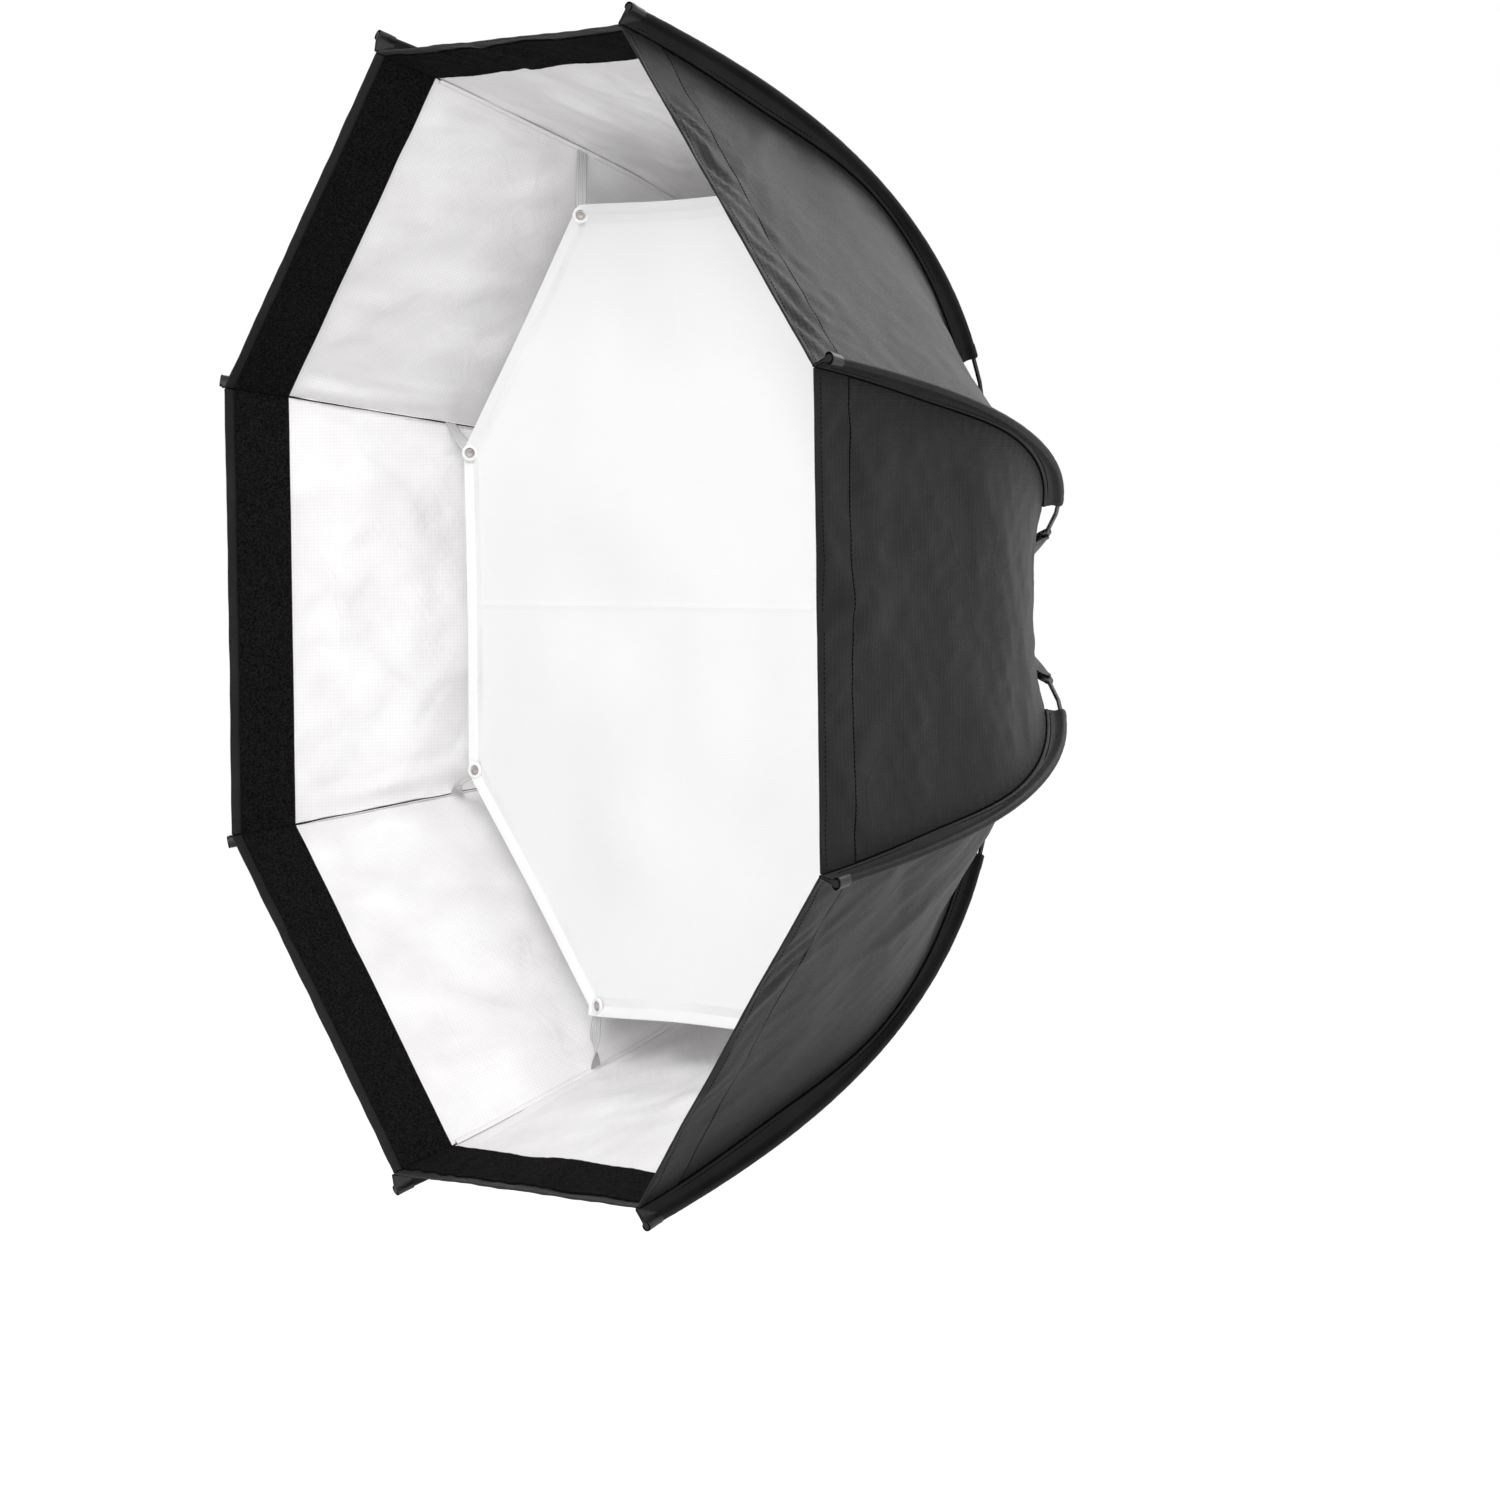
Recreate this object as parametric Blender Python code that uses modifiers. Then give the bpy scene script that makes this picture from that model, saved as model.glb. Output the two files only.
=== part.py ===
"""Studio softbox: an eight-sided fabric bowl on a folding umbrella frame.

Units are metres, +Z is up. The origin is the centre of the rear face that seats on the
lamp, the lamp's side is +Y and the light leaves towards -Y. Each of the eight rods lies
in its own radial plane, a station. A station's pieces are modelled in the local frame of
a rod that points along +X, and turned about Y into place.
"""
import bpy
import bmesh
import math
from mathutils import Matrix, Vector

# Overall layout
SIDES = 8
STATION_STEP = 2 * math.pi / SIDES
HALF_STEP = STATION_STEP / 2
CLEARANCE = 0.0004                # running clearance between pieces that move
SEAT_GAP = 0.0003                 # gap between pieces that only touch
OVERLAP = 0.0010                  # how deep forms that are joined reach into each other

# Bayonet ring that seats on the lamp
BAYONET_BORE_RADIUS = 0.0600
BAYONET_PLATE = 0.0030
BAYONET_OVERHANG = 0.0020             # ring that stands out past the hub
LUG_COUNT = 3
LUG_ARC = math.radians(34.0)
LUG_INSET = 0.0002                    # lug wall, outside the bore
LUG_WALL = 0.0025
LUG_HEIGHT = 0.0105
LUG_FOOT = 0.0032
LUG_FOOT_THICKNESS = 0.0026

# Hub ring and its clevises
HUB_BORE_STEP = 0.0010                # hub bore, outside the bayonet ring's bore
HUB_WALL = 0.0095
HUB_CHAMFER = 0.0010
EAR_THICKNESS = 0.0022
EAR_RADIUS = 0.0050
PIVOT_STANDOFF = 0.0045               # rod hinges, outside the hub ring
PIVOT_Y = -0.009
HUB_BORE_RADIUS = BAYONET_BORE_RADIUS + HUB_BORE_STEP
HUB_OUTER_RADIUS = HUB_BORE_RADIUS + HUB_WALL
PIVOT_RADIUS = HUB_OUTER_RADIUS + PIVOT_STANDOFF

# Rods: spring steel, bent like a cantilever that is pulled at its tip
ROD_LENGTH = 0.657
ROD_DIAMETER = 0.0040
ROD_ROOT_ANGLE = math.radians(4.7)    # lean towards the front at the hub
ROD_TIP_ANGLE = math.radians(68.4)    # lean towards the front at the tip
ROD_BEND_BIAS = 0.786                 # how far the bend is gathered near the hub
ROD_STEPS = 13
TIP_CAP_DIAMETER = 0.0048
TIP_CAP_LENGTH = 0.0120

# Flattened inner end of each rod
TANG_THICKNESS = 0.0030
TANG_HEIGHT = 0.0076
TANG_PAST_STRUT = 0.0080
PIN_DIAMETER = 0.0030

# Struts and runner: both links of a station are equally long
STRUT_REACH = 0.0785                  # hub pin to strut pin, and strut pin to runner pin
STRUT_HEIGHT = 0.0068
STRUT_CHEEK = 0.0015
FORK_DEPTH = 0.0215
RUNNER_PIN_END = 0.0036               # runner pin that shows past the strut on each side
FOLD_ANGLE = math.radians(40.0)

# Runner ring
RUNNER_INSIDE_PIN = 0.0044            # ring, inside the circle of the cross pins
RUNNER_WALL = 0.0106
RUNNER_DEPTH = 0.0130
RUNNER_CHAMFER = 0.0012
RUNNER_BEHIND_PIN = 0.0040
RUNNER_EAR_THICKNESS = 0.0024
RUNNER_EAR_PAST_PIN = 0.0046
RUNNER_EAR_CORNER = 0.0030
RUNNER_OUTER_RADIUS = PIVOT_RADIUS - RUNNER_INSIDE_PIN
RUNNER_BORE_RADIUS = RUNNER_OUTER_RADIUS - RUNNER_WALL

# Catch springs that hold the runner open
CATCH_COUNT = 4
CATCH_THICKNESS = 0.0008
CATCH_WIDTH = 0.0090
CATCH_NIB = 0.0030
CATCH_FOOT = 0.0060
CATCH_TAIL_LENGTH = 0.0060
CATCH_TAIL_REACH = 0.0030

# Sleeves: a tunnel for the rod on the outer edge of a flat fin
SLEEVE_LENGTH = 0.502
SLEEVE_WALL = 0.0006
FIN_THICKNESS = 0.0012
FIN_WIDTH_FRONT = 0.0155
FIN_WIDTH_SHOULDER = 0.0185
FIN_WIDTH_WAIST = 0.0105
FIN_WIDTH_BACK = 0.0150
FIN_SHOULDER_AT = 0.30                # share of the seam, from the rim
FIN_WAIST_AT = 0.62
SEAM_ALLOWANCE = 0.0038               # fin that stands inside the bowl
SEAM_ALLOWANCE_RAMP = 0.02            # share of the seam over which it grows from the rim
POCKET_LENGTH = 0.0030

# Fabric panels
PANEL_THICKNESS = 0.0008
PANEL_ROWS = 11
PANEL_COLUMNS = 6
COLLAR_ROWS = 2                       # rows behind the sleeves
PANEL_PULL = 0.0105                   # depth of the saddle at the middle of a panel
COLLAR_PULL = 0.10                    # share of it that is left at the rear opening
COLLAR_PAST_PIVOT = 0.0850            # rear opening, wide enough for the folding struts
COLLAR_BEHIND_RIM = 0.4085
COLLAR_RADIUS = PIVOT_RADIUS + COLLAR_PAST_PIVOT

# Hook-and-loop strips inside the rim
STRIP_START = 0.0080
STRIP_WIDTH = 0.0500
STRIP_THICKNESS = 0.0012
STRIP_GAP = 0.0008                    # the strip is flat and the panel behind it is bowed
STRIP_EDGE_GAP = 0.0033

# Inner diffuser and its straps
DIFFUSER_BEHIND_RIM = 0.163
DIFFUSER_THICKNESS = 0.0010
STRAP_BEHIND_RIM = 0.176
STRAP_SPAN = 0.0614                   # from the seam to the diffuser's corner
STRAP_FLAT = 0.0040                   # strap that lies flat past that corner
STRAP_WIDTH = 0.0100
STRAP_THICKNESS = 0.0010
SNAP_RADIUS = 0.0065
SNAP_THICKNESS = 0.0022
SNAP_INSET = 0.0085

ROUND_STEPS = 8
RING_STEPS = 40

ALL_MATERIALS = {
    "outer_fabric": ((0.026, 0.026, 0.028), 0.62, 0.0),
    "sleeve_webbing": ((0.014, 0.014, 0.015), 0.70, 0.0),
    "loop_fleece": ((0.008, 0.008, 0.009), 0.95, 0.0),
    "diffusion_cloth": ((0.86, 0.87, 0.88), 0.80, 0.0),
    "elastic": ((0.62, 0.63, 0.64), 0.80, 0.0),
    "black_steel": ((0.020, 0.020, 0.022), 0.35, 0.9),
    "spring_steel": ((0.55, 0.56, 0.58), 0.30, 1.0),
    "cast_aluminium": ((0.045, 0.046, 0.048), 0.45, 0.8),
    "bright_steel": ((0.60, 0.61, 0.62), 0.28, 1.0),
    "moulded_plastic": ((0.020, 0.020, 0.021), 0.50, 0.0),
}


# ---------------------------------------------------------------- scene and materials

def clear_scene():
    for item in list(bpy.data.objects):
        bpy.data.objects.remove(item, do_unlink=True)


def make_materials():
    made = {}
    for name, (colour, roughness, metallic) in ALL_MATERIALS.items():
        material = bpy.data.materials.new(name)
        material.use_nodes = True
        shader = material.node_tree.nodes["Principled BSDF"]
        shader.inputs["Base Color"].default_value = (*colour, 1.0)
        shader.inputs["Roughness"].default_value = roughness
        shader.inputs["Metallic"].default_value = metallic
        made[name] = material
    return made


def make_collection(name):
    collection = bpy.data.collections.new(name)
    bpy.context.scene.collection.children.link(collection)
    return collection


# ---------------------------------------------------------------- mesh tools

def as_mesh(item):
    """The evaluated shape of an object as a new welded mesh; the object goes."""
    graph = bpy.context.evaluated_depsgraph_get()
    mesh = bpy.data.meshes.new_from_object(item.evaluated_get(graph))
    mesh.transform(item.matrix_world)
    bpy.data.objects.remove(item, do_unlink=True)
    work = bmesh.new()
    work.from_mesh(mesh)
    bmesh.ops.remove_doubles(work, verts=work.verts, dist=0.000002)
    bmesh.ops.recalc_face_normals(work, faces=work.faces)
    work.to_mesh(mesh)
    work.free()
    return mesh


def scratch_object(data):
    item = bpy.data.objects.new("work", data)
    bpy.context.scene.collection.objects.link(item)
    bpy.context.view_layer.update()
    return item


def plate(outlines, thickness, middle=0.0):
    """A flat plate in the XY plane; outlines after the first are holes."""
    curve = bpy.data.curves.new("plate", "CURVE")
    curve.dimensions = "2D"
    curve.fill_mode = "BOTH"
    curve.extrude = thickness / 2
    for outline in outlines:
        spline = curve.splines.new("POLY")
        spline.points.add(len(outline) - 1)
        for point, (x, y) in zip(spline.points, outline):
            point.co = (x, y, 0.0, 1.0)
        spline.use_cyclic_u = True
    mesh = as_mesh(scratch_object(curve))
    mesh.transform(Matrix.Translation((0.0, 0.0, middle)))
    return mesh


def tube(path, radius):
    """A round wire along points in the XY plane, with closed ends."""
    curve = bpy.data.curves.new("tube", "CURVE")
    curve.dimensions = "3D"
    curve.bevel_depth = radius
    curve.bevel_resolution = 1
    curve.use_fill_caps = True
    spline = curve.splines.new("POLY")
    spline.points.add(len(path) - 1)
    for point, (x, y) in zip(spline.points, path):
        point.co = (x, y, 0.0, 1.0)
    return as_mesh(scratch_object(curve))


def turned(profile):
    """A closed profile of (radius, y) points turned about the Y axis."""
    mesh = bpy.data.meshes.new("turned")
    work = bmesh.new()
    points = [work.verts.new((radius, y, 0.0)) for radius, y in profile]
    for first, second in zip(points, points[1:] + points[:1]):
        work.edges.new((first, second))
    work.to_mesh(mesh)
    work.free()
    item = scratch_object(mesh)
    screw = item.modifiers.new("turn", "SCREW")
    screw.axis = "Y"
    screw.angle = 2 * math.pi
    screw.steps = RING_STEPS
    screw.render_steps = RING_STEPS
    screw.use_merge_vertices = True
    screw.merge_threshold = 0.00001
    return as_mesh(item)


def cylinder(radius, length, centre):
    """A cylinder along Z, the direction of a station's pins."""
    mesh = bpy.data.meshes.new("cylinder")
    work = bmesh.new()
    place = Matrix.Translation((*centre, 0.0))
    bmesh.ops.create_cone(work, cap_ends=True, segments=ROUND_STEPS, radius1=radius,
                          radius2=radius, depth=length, matrix=place)
    work.to_mesh(mesh)
    work.free()
    return mesh


def block(size, centre, turn=0.0):
    mesh = bpy.data.meshes.new("block")
    work = bmesh.new()
    place = Matrix.Translation(centre) @ Matrix.Rotation(turn, 4, "Z")
    place = place @ Matrix.Diagonal((*size, 1.0))
    bmesh.ops.create_cube(work, size=1.0, matrix=place)
    work.to_mesh(mesh)
    work.free()
    return mesh


def gathered(meshes):
    """Several meshes in one, left as they are."""
    work = bmesh.new()
    for mesh in meshes:
        work.from_mesh(mesh)
    whole = bpy.data.meshes.new("gathered")
    work.to_mesh(whole)
    work.free()
    return whole


def combine(base, other, operation):
    """The exact union or difference of two meshes."""
    keep = scratch_object(base)
    tool = scratch_object(other)
    step = keep.modifiers.new("combine", "BOOLEAN")
    step.operation = operation
    step.solver = "EXACT"
    step.object = tool
    bpy.context.view_layer.update()
    mesh = as_mesh(keep)
    bpy.data.objects.remove(tool, do_unlink=True)
    return mesh


def turned_copies(mesh, count, first=0.0):
    """Copies of a mesh at even angles about the Y axis, in one mesh."""
    copies = []
    for index in range(count):
        copy = mesh.copy()
        copy.transform(Matrix.Rotation(-(first + index * 2 * math.pi / count), 4, "Y"))
        copies.append(copy)
    return gathered(copies)


# ---------------------------------------------------------------- outlines in a station

def circle(centre, radius, steps=ROUND_STEPS):
    turns = [2 * math.pi * step / steps for step in range(steps)]
    return [(centre[0] + radius * math.cos(a), centre[1] + radius * math.sin(a)) for a in turns]


def capsule(centre, half_length, radius):
    """A slot outline along Y with round ends."""
    points = []
    for start, end_y in ((0.0, centre[1] + half_length), (math.pi, centre[1] - half_length)):
        for step in range(ROUND_STEPS // 2 + 1):
            turn = start + 2 * math.pi * step / ROUND_STEPS
            points.append((centre[0] + radius * math.cos(turn), end_y + radius * math.sin(turn)))
    return points


def band(path, half_width):
    """The outline of a bar that follows a path, with round ends."""
    path = [Vector(point) for point in path]
    outline = []
    for line in (path, path[::-1]):
        for index, point in enumerate(line):
            before = line[max(index - 1, 0)]
            after = line[min(index + 1, len(line) - 1)]
            ahead = (after - before).normalized()
            side = Vector((ahead.y, -ahead.x))
            outline.append(point + side * half_width)
        heading = math.atan2(-ahead.x, ahead.y)
        for step in range(1, ROUND_STEPS // 2):
            turn = heading + 2 * math.pi * step / ROUND_STEPS
            outline.append(line[-1] + half_width * Vector((math.cos(turn), math.sin(turn))))
    return [tuple(point) for point in outline]


def arc(radius, start, end, steps):
    turns = [start + (end - start) * step / steps for step in range(steps + 1)]
    return [(radius * math.cos(turn), radius * math.sin(turn)) for turn in turns]


def blend(start, end, share):
    share = min(max(share, 0.0), 1.0)
    return start + (end - start) * share * share * (3 - 2 * share)


# ---------------------------------------------------------------- rod and seam lines

def rod_line():
    """Points of (distance, radius, y, lean) along a rod's centre line from its pivot."""
    steps = 400
    step_length = ROD_LENGTH / steps
    radius, y = PIVOT_RADIUS, PIVOT_Y
    points = []
    for step in range(steps + 1):
        share = step / steps
        bent = share + ROD_BEND_BIAS * share * (1 - share)
        lean = ROD_ROOT_ANGLE + (ROD_TIP_ANGLE - ROD_ROOT_ANGLE) * bent
        points.append((share * ROD_LENGTH, radius, y, lean))
        radius += math.cos(lean) * step_length
        y -= math.sin(lean) * step_length
    return points


ROD_LINE = rod_line()


def rod_point(distance):
    """Radius, y and lean at a distance along the rod; it runs straight past its ends."""
    if distance >= ROD_LENGTH:
        _, radius, y, lean = ROD_LINE[-1]
        past = distance - ROD_LENGTH
        return radius + past * math.cos(lean), y - past * math.sin(lean), lean
    place = max(distance, 0.0) / ROD_LENGTH * (len(ROD_LINE) - 1)
    index = min(int(place), len(ROD_LINE) - 2)
    share = place - index
    low, high = ROD_LINE[index], ROD_LINE[index + 1]
    return tuple(a + (b - a) * share for a, b in zip(low[1:], high[1:]))


def rod_path(start, end, steps):
    spots = [start + (end - start) * step / steps for step in range(steps + 1)]
    return [rod_point(spot)[:2] for spot in spots]


def strut_pin():
    """Distance along the rod at which it is STRUT_REACH from the hub pin."""
    for distance, radius, y, _ in ROD_LINE:
        if math.hypot(radius - PIVOT_RADIUS, y - PIVOT_Y) >= STRUT_REACH:
            return distance
    raise ValueError("the strut is longer than the rod")


STRUT_PIN_AT = strut_pin()
STRUT_PIN = rod_point(STRUT_PIN_AT)[:2]
LINK_ANGLE = math.asin((PIVOT_Y - STRUT_PIN[1]) / STRUT_REACH)
RUNNER_PIN = (PIVOT_RADIUS, 2 * STRUT_PIN[1] - PIVOT_Y)
RUNNER_TRAVEL = 2 * STRUT_REACH * (math.sin(LINK_ANGLE + FOLD_ANGLE) - math.sin(LINK_ANGLE))
RUNNER_PLAY = (2 * STRUT_REACH * (math.sin(LINK_ANGLE + FOLD_ANGLE / 2) - math.sin(LINK_ANGLE))
               - RUNNER_TRAVEL / 2)
SLEEVE_START = ROD_LENGTH - SLEEVE_LENGTH
TUNNEL_RADIUS = TIP_CAP_DIAMETER / 2 + SEAT_GAP


def fin_width(share):
    """Width of a sleeve's fin, from the rim at 0 to its back end at 1."""
    if share < FIN_SHOULDER_AT:
        return blend(FIN_WIDTH_FRONT, FIN_WIDTH_SHOULDER, share / FIN_SHOULDER_AT)
    if share < FIN_WAIST_AT:
        past_shoulder = (share - FIN_SHOULDER_AT) / (FIN_WAIST_AT - FIN_SHOULDER_AT)
        return blend(FIN_WIDTH_SHOULDER, FIN_WIDTH_WAIST, past_shoulder)
    return blend(FIN_WIDTH_WAIST, FIN_WIDTH_BACK, (share - FIN_WAIST_AT) / (1 - FIN_WAIST_AT))


def seam_beside_rod(share, inside=0.0):
    """The seam between two panels, under the rod, or a line further inside the bowl."""
    radius, y, lean = rod_point(ROD_LENGTH - share * SLEEVE_LENGTH)
    offset = fin_width(share) + inside
    return radius - offset * math.sin(lean), y - offset * math.cos(lean)


RIM_RADIUS, RIM_Y = seam_beside_rod(0.0)
SLEEVE_ROWS = PANEL_ROWS - COLLAR_ROWS


def seam_point(row):
    """Radius and y of the seam at a row of the panel, from the rim to the rear opening."""
    if row <= SLEEVE_ROWS:
        return seam_beside_rod(row / SLEEVE_ROWS)
    share = (row - SLEEVE_ROWS) / COLLAR_ROWS
    start = Vector(seam_beside_rod(1.0))
    before = Vector(seam_beside_rod(1.0 - 1.0 / SLEEVE_ROWS))
    end = Vector((COLLAR_RADIUS, RIM_Y + COLLAR_BEHIND_RIM))
    middle = start + (start - before).normalized() * (end - start).length / 2
    point = (1 - share) ** 2 * start + 2 * share * (1 - share) * middle + share ** 2 * end
    return tuple(point)


def seam_lean(row):
    """Lean of the seam towards the front at a row."""
    ahead = seam_point(max(row - 0.1, 0.0))
    behind = seam_point(min(row + 0.1, PANEL_ROWS))
    return math.atan2(behind[1] - ahead[1], ahead[0] - behind[0])


def row_at(y):
    """The row of the panel at which the seam has a given y."""
    low, high = 0.0, float(SLEEVE_ROWS)
    for _ in range(40):
        middle = (low + high) / 2
        low, high = (middle, high) if seam_point(middle)[1] < y else (low, middle)
    return low


STRAP_ROW = row_at(RIM_Y + STRAP_BEHIND_RIM)
DIFFUSER_RADIUS = seam_point(STRAP_ROW)[0] - STRAP_SPAN


def pull_depth(row):
    """How far the middle of a panel is drawn in from the straight line between seams."""
    peak = SLEEVE_ROWS - 0.5
    if row < peak:
        return PANEL_PULL * blend(0.0, 1.0, row / peak)
    return PANEL_PULL * blend(1.0, COLLAR_PULL, (row - peak) / (PANEL_ROWS - peak))


def panel_point(row, across, inward=0.0, edge_gap=0.0):
    """A point of the panel's middle surface, in the frame of the panel's centre line."""
    radius, y = seam_point(row)
    lean = seam_lean(row)
    sewn = FIN_THICKNESS / 2 if row < SLEEVE_ROWS + 0.5 else 0.0
    edge = (sewn + SEAT_GAP + PANEL_THICKNESS / 4) / math.cos(HALF_STEP) + edge_gap
    depth = pull_depth(row) * (1 - across ** 4) + inward
    return Vector((radius * math.cos(HALF_STEP) - depth * math.sin(lean),
                   y - depth * math.cos(lean),
                   across * (radius * math.sin(HALF_STEP) - edge)))


# ---------------------------------------------------------------- the pieces

def rod_mesh():
    """Round rod with a flattened, drilled inner end and a moulded tip cap."""
    tang_end = STRUT_PIN_AT + TANG_PAST_STRUT
    outline = band(rod_path(0.0, tang_end, 7), TANG_HEIGHT / 2)
    bore = PIN_DIAMETER / 2 + CLEARANCE
    pivot = (PIVOT_RADIUS, PIVOT_Y)
    tang = plate([outline, circle(pivot, bore), circle(STRUT_PIN, bore)], TANG_THICKNESS)
    wire = tube(rod_path(tang_end - OVERLAP, ROD_LENGTH - OVERLAP, ROD_STEPS), ROD_DIAMETER / 2)
    cap = tube(rod_path(ROD_LENGTH - TIP_CAP_LENGTH, ROD_LENGTH, 3), TIP_CAP_DIAMETER / 2)
    return combine(combine(tang, wire, "UNION"), cap, "UNION")


def sleeve_mesh():
    """Sewn tunnel round the rod, the fin that joins it to the seam, and the tip pocket."""
    steps = SLEEVE_ROWS + 3
    inner = []
    for step in range(steps + 1):
        share = step / steps
        inside = SEAM_ALLOWANCE * blend(0.0, 1.0, share / SEAM_ALLOWANCE_RAMP)
        inner.append(seam_beside_rod(share, inside))
    outer = rod_path(SLEEVE_START, ROD_LENGTH + POCKET_LENGTH, steps)
    fin = plate([inner + outer], FIN_THICKNESS)
    outer_radius = TUNNEL_RADIUS + SLEEVE_WALL
    casing = tube(rod_path(SLEEVE_START, ROD_LENGTH + POCKET_LENGTH - OVERLAP, steps), outer_radius)
    tunnel = tube(rod_path(SLEEVE_START - OVERLAP, ROD_LENGTH + SEAT_GAP, steps), TUNNEL_RADIUS)
    return combine(combine(fin, casing, "UNION"), tunnel, "DIFFERENCE")


def strut_mesh():
    """Link with a fork on the rod's flat and a cross pin in the runner's slots."""
    width = TANG_THICKNESS + 2 * CLEARANCE + 2 * STRUT_CHEEK
    bar = plate([band([RUNNER_PIN, STRUT_PIN], STRUT_HEIGHT / 2)], width)
    reach = Vector(STRUT_PIN) - Vector(RUNNER_PIN)
    turn = math.atan2(reach.y, reach.x)
    middle = Vector(STRUT_PIN) - reach.normalized() * (FORK_DEPTH - STRUT_HEIGHT) / 2
    size = (FORK_DEPTH + STRUT_HEIGHT, 2 * STRUT_HEIGHT, TANG_THICKNESS + 2 * CLEARANCE)
    fork = combine(bar, block(size, (*middle, 0.0), turn), "DIFFERENCE")
    rod_pin = cylinder(PIN_DIAMETER / 2, width - STRUT_CHEEK, STRUT_PIN)
    cross_pin = cylinder(PIN_DIAMETER / 2, width + 2 * RUNNER_PIN_END, RUNNER_PIN)
    return combine(combine(fork, rod_pin, "UNION"), cross_pin, "UNION")


def clevis_mesh():
    """A pair of ears on the hub with the pin that the rod's eye turns on."""
    pivot = (PIVOT_RADIUS, PIVOT_Y)
    foot = HUB_OUTER_RADIUS - HUB_CHAMFER - OVERLAP
    ear = [(foot, PIVOT_Y + EAR_RADIUS), (foot, PIVOT_Y - EAR_RADIUS)]
    ear += [(pivot[0] + EAR_RADIUS * math.cos(turn), pivot[1] + EAR_RADIUS * math.sin(turn))
            for turn in [math.pi * (step / 6 - 0.5) for step in range(7)]]
    offset = TANG_THICKNESS / 2 + CLEARANCE + EAR_THICKNESS / 2
    ears = gathered([plate([ear], EAR_THICKNESS, side * offset) for side in (-1, 1)])
    pin = cylinder(PIN_DIAMETER / 2, 2 * offset, pivot)
    return combine(ears, pin, "UNION")


def hub_mesh():
    """Turned ring behind the bayonet ring with a clevis at each station."""
    front = PIVOT_Y - EAR_RADIUS
    back = -BAYONET_PLATE - SEAT_GAP
    profile = [(HUB_BORE_RADIUS, back), (HUB_BORE_RADIUS, front + HUB_CHAMFER),
               (HUB_BORE_RADIUS + HUB_CHAMFER, front), (HUB_OUTER_RADIUS - HUB_CHAMFER, front),
               (HUB_OUTER_RADIUS, front + HUB_CHAMFER), (HUB_OUTER_RADIUS, back)]
    clevises = turned_copies(clevis_mesh(), SIDES, HALF_STEP)
    return combine(turned(profile), clevises, "UNION")


def sector(inner_radius, outer_radius, depth, start_y):
    """Part of a flat ring about the Y axis, over the arc of one lug."""
    outline = arc(outer_radius, -LUG_ARC / 2, LUG_ARC / 2, 8)
    outline += arc(inner_radius, LUG_ARC / 2, -LUG_ARC / 2, 8)
    mesh = plate([outline], depth)
    mesh.transform(Matrix.Rotation(math.pi / 2, 4, "X"))
    mesh.transform(Matrix.Translation((0.0, start_y + depth / 2, 0.0)))
    return mesh


def bayonet_mesh():
    """Pressed ring with three lugs that turn under the catches of the lamp."""
    outer = HUB_OUTER_RADIUS + BAYONET_OVERHANG
    profile = [(BAYONET_BORE_RADIUS, 0.0), (BAYONET_BORE_RADIUS, -BAYONET_PLATE),
               (outer, -BAYONET_PLATE), (outer, 0.0)]
    wall_outer = BAYONET_BORE_RADIUS + LUG_WALL
    wall = sector(BAYONET_BORE_RADIUS + LUG_INSET, wall_outer, LUG_HEIGHT + OVERLAP, -OVERLAP)
    foot = sector(wall_outer - OVERLAP, wall_outer + LUG_FOOT, LUG_FOOT_THICKNESS,
                  LUG_HEIGHT - LUG_FOOT_THICKNESS)
    lug = combine(wall, foot, "UNION")
    return combine(turned(profile), turned_copies(lug, LUG_COUNT, math.pi / 2), "UNION")


def runner_mesh():
    """Sliding ring whose slotted ears carry the struts' cross pins."""
    pin_radius, pin_y = RUNNER_PIN
    back = pin_y + RUNNER_BEHIND_PIN
    front = back - RUNNER_DEPTH
    bore_end = RUNNER_BORE_RADIUS + RUNNER_CHAMFER
    profile = [(RUNNER_BORE_RADIUS, back - RUNNER_CHAMFER),
               (RUNNER_BORE_RADIUS, front + RUNNER_CHAMFER), (bore_end, front),
               (RUNNER_OUTER_RADIUS, front), (RUNNER_OUTER_RADIUS, back), (bore_end, back)]
    foot = RUNNER_OUTER_RADIUS - OVERLAP
    rim = pin_radius + RUNNER_EAR_PAST_PIN
    corner = rim - RUNNER_EAR_CORNER
    ear = [(foot, back), (foot, front), (corner, front), (rim, front + RUNNER_EAR_CORNER),
           (rim, back - RUNNER_EAR_CORNER), (corner, back)]
    slot = capsule((pin_radius, pin_y - RUNNER_PLAY / 2), RUNNER_PLAY / 2,
                   PIN_DIAMETER / 2 + CLEARANCE)
    strut_width = TANG_THICKNESS + 2 * CLEARANCE + 2 * STRUT_CHEEK
    offset = strut_width / 2 + CLEARANCE + RUNNER_EAR_THICKNESS / 2
    ears = gathered([plate([ear, slot], RUNNER_EAR_THICKNESS, side * offset) for side in (-1, 1)])
    return combine(turned(profile), turned_copies(ears, SIDES, HALF_STEP), "UNION")


def catch_mesh():
    """Leaf spring on the hub whose nib lies in front of the runner when it is home."""
    hub_front = PIVOT_Y - EAR_RADIUS
    runner_front = RUNNER_PIN[1] + RUNNER_BEHIND_PIN - RUNNER_DEPTH
    inner = RUNNER_OUTER_RADIUS + SEAT_GAP
    outer = inner + CATCH_THICKNESS
    nib_y = runner_front - SEAT_GAP
    outline = [(inner, hub_front + CATCH_FOOT), (inner, nib_y),
               (inner - CATCH_NIB, nib_y), (inner - CATCH_NIB, nib_y - CATCH_THICKNESS),
               (inner, nib_y - CATCH_THICKNESS),
               (inner + CATCH_TAIL_REACH, nib_y - CATCH_TAIL_LENGTH),
               (outer + CATCH_TAIL_REACH, nib_y - CATCH_TAIL_LENGTH + CATCH_THICKNESS / 2),
               (outer, nib_y),
               (outer, hub_front + CATCH_FOOT)]
    return plate([outline], CATCH_WIDTH)


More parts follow.
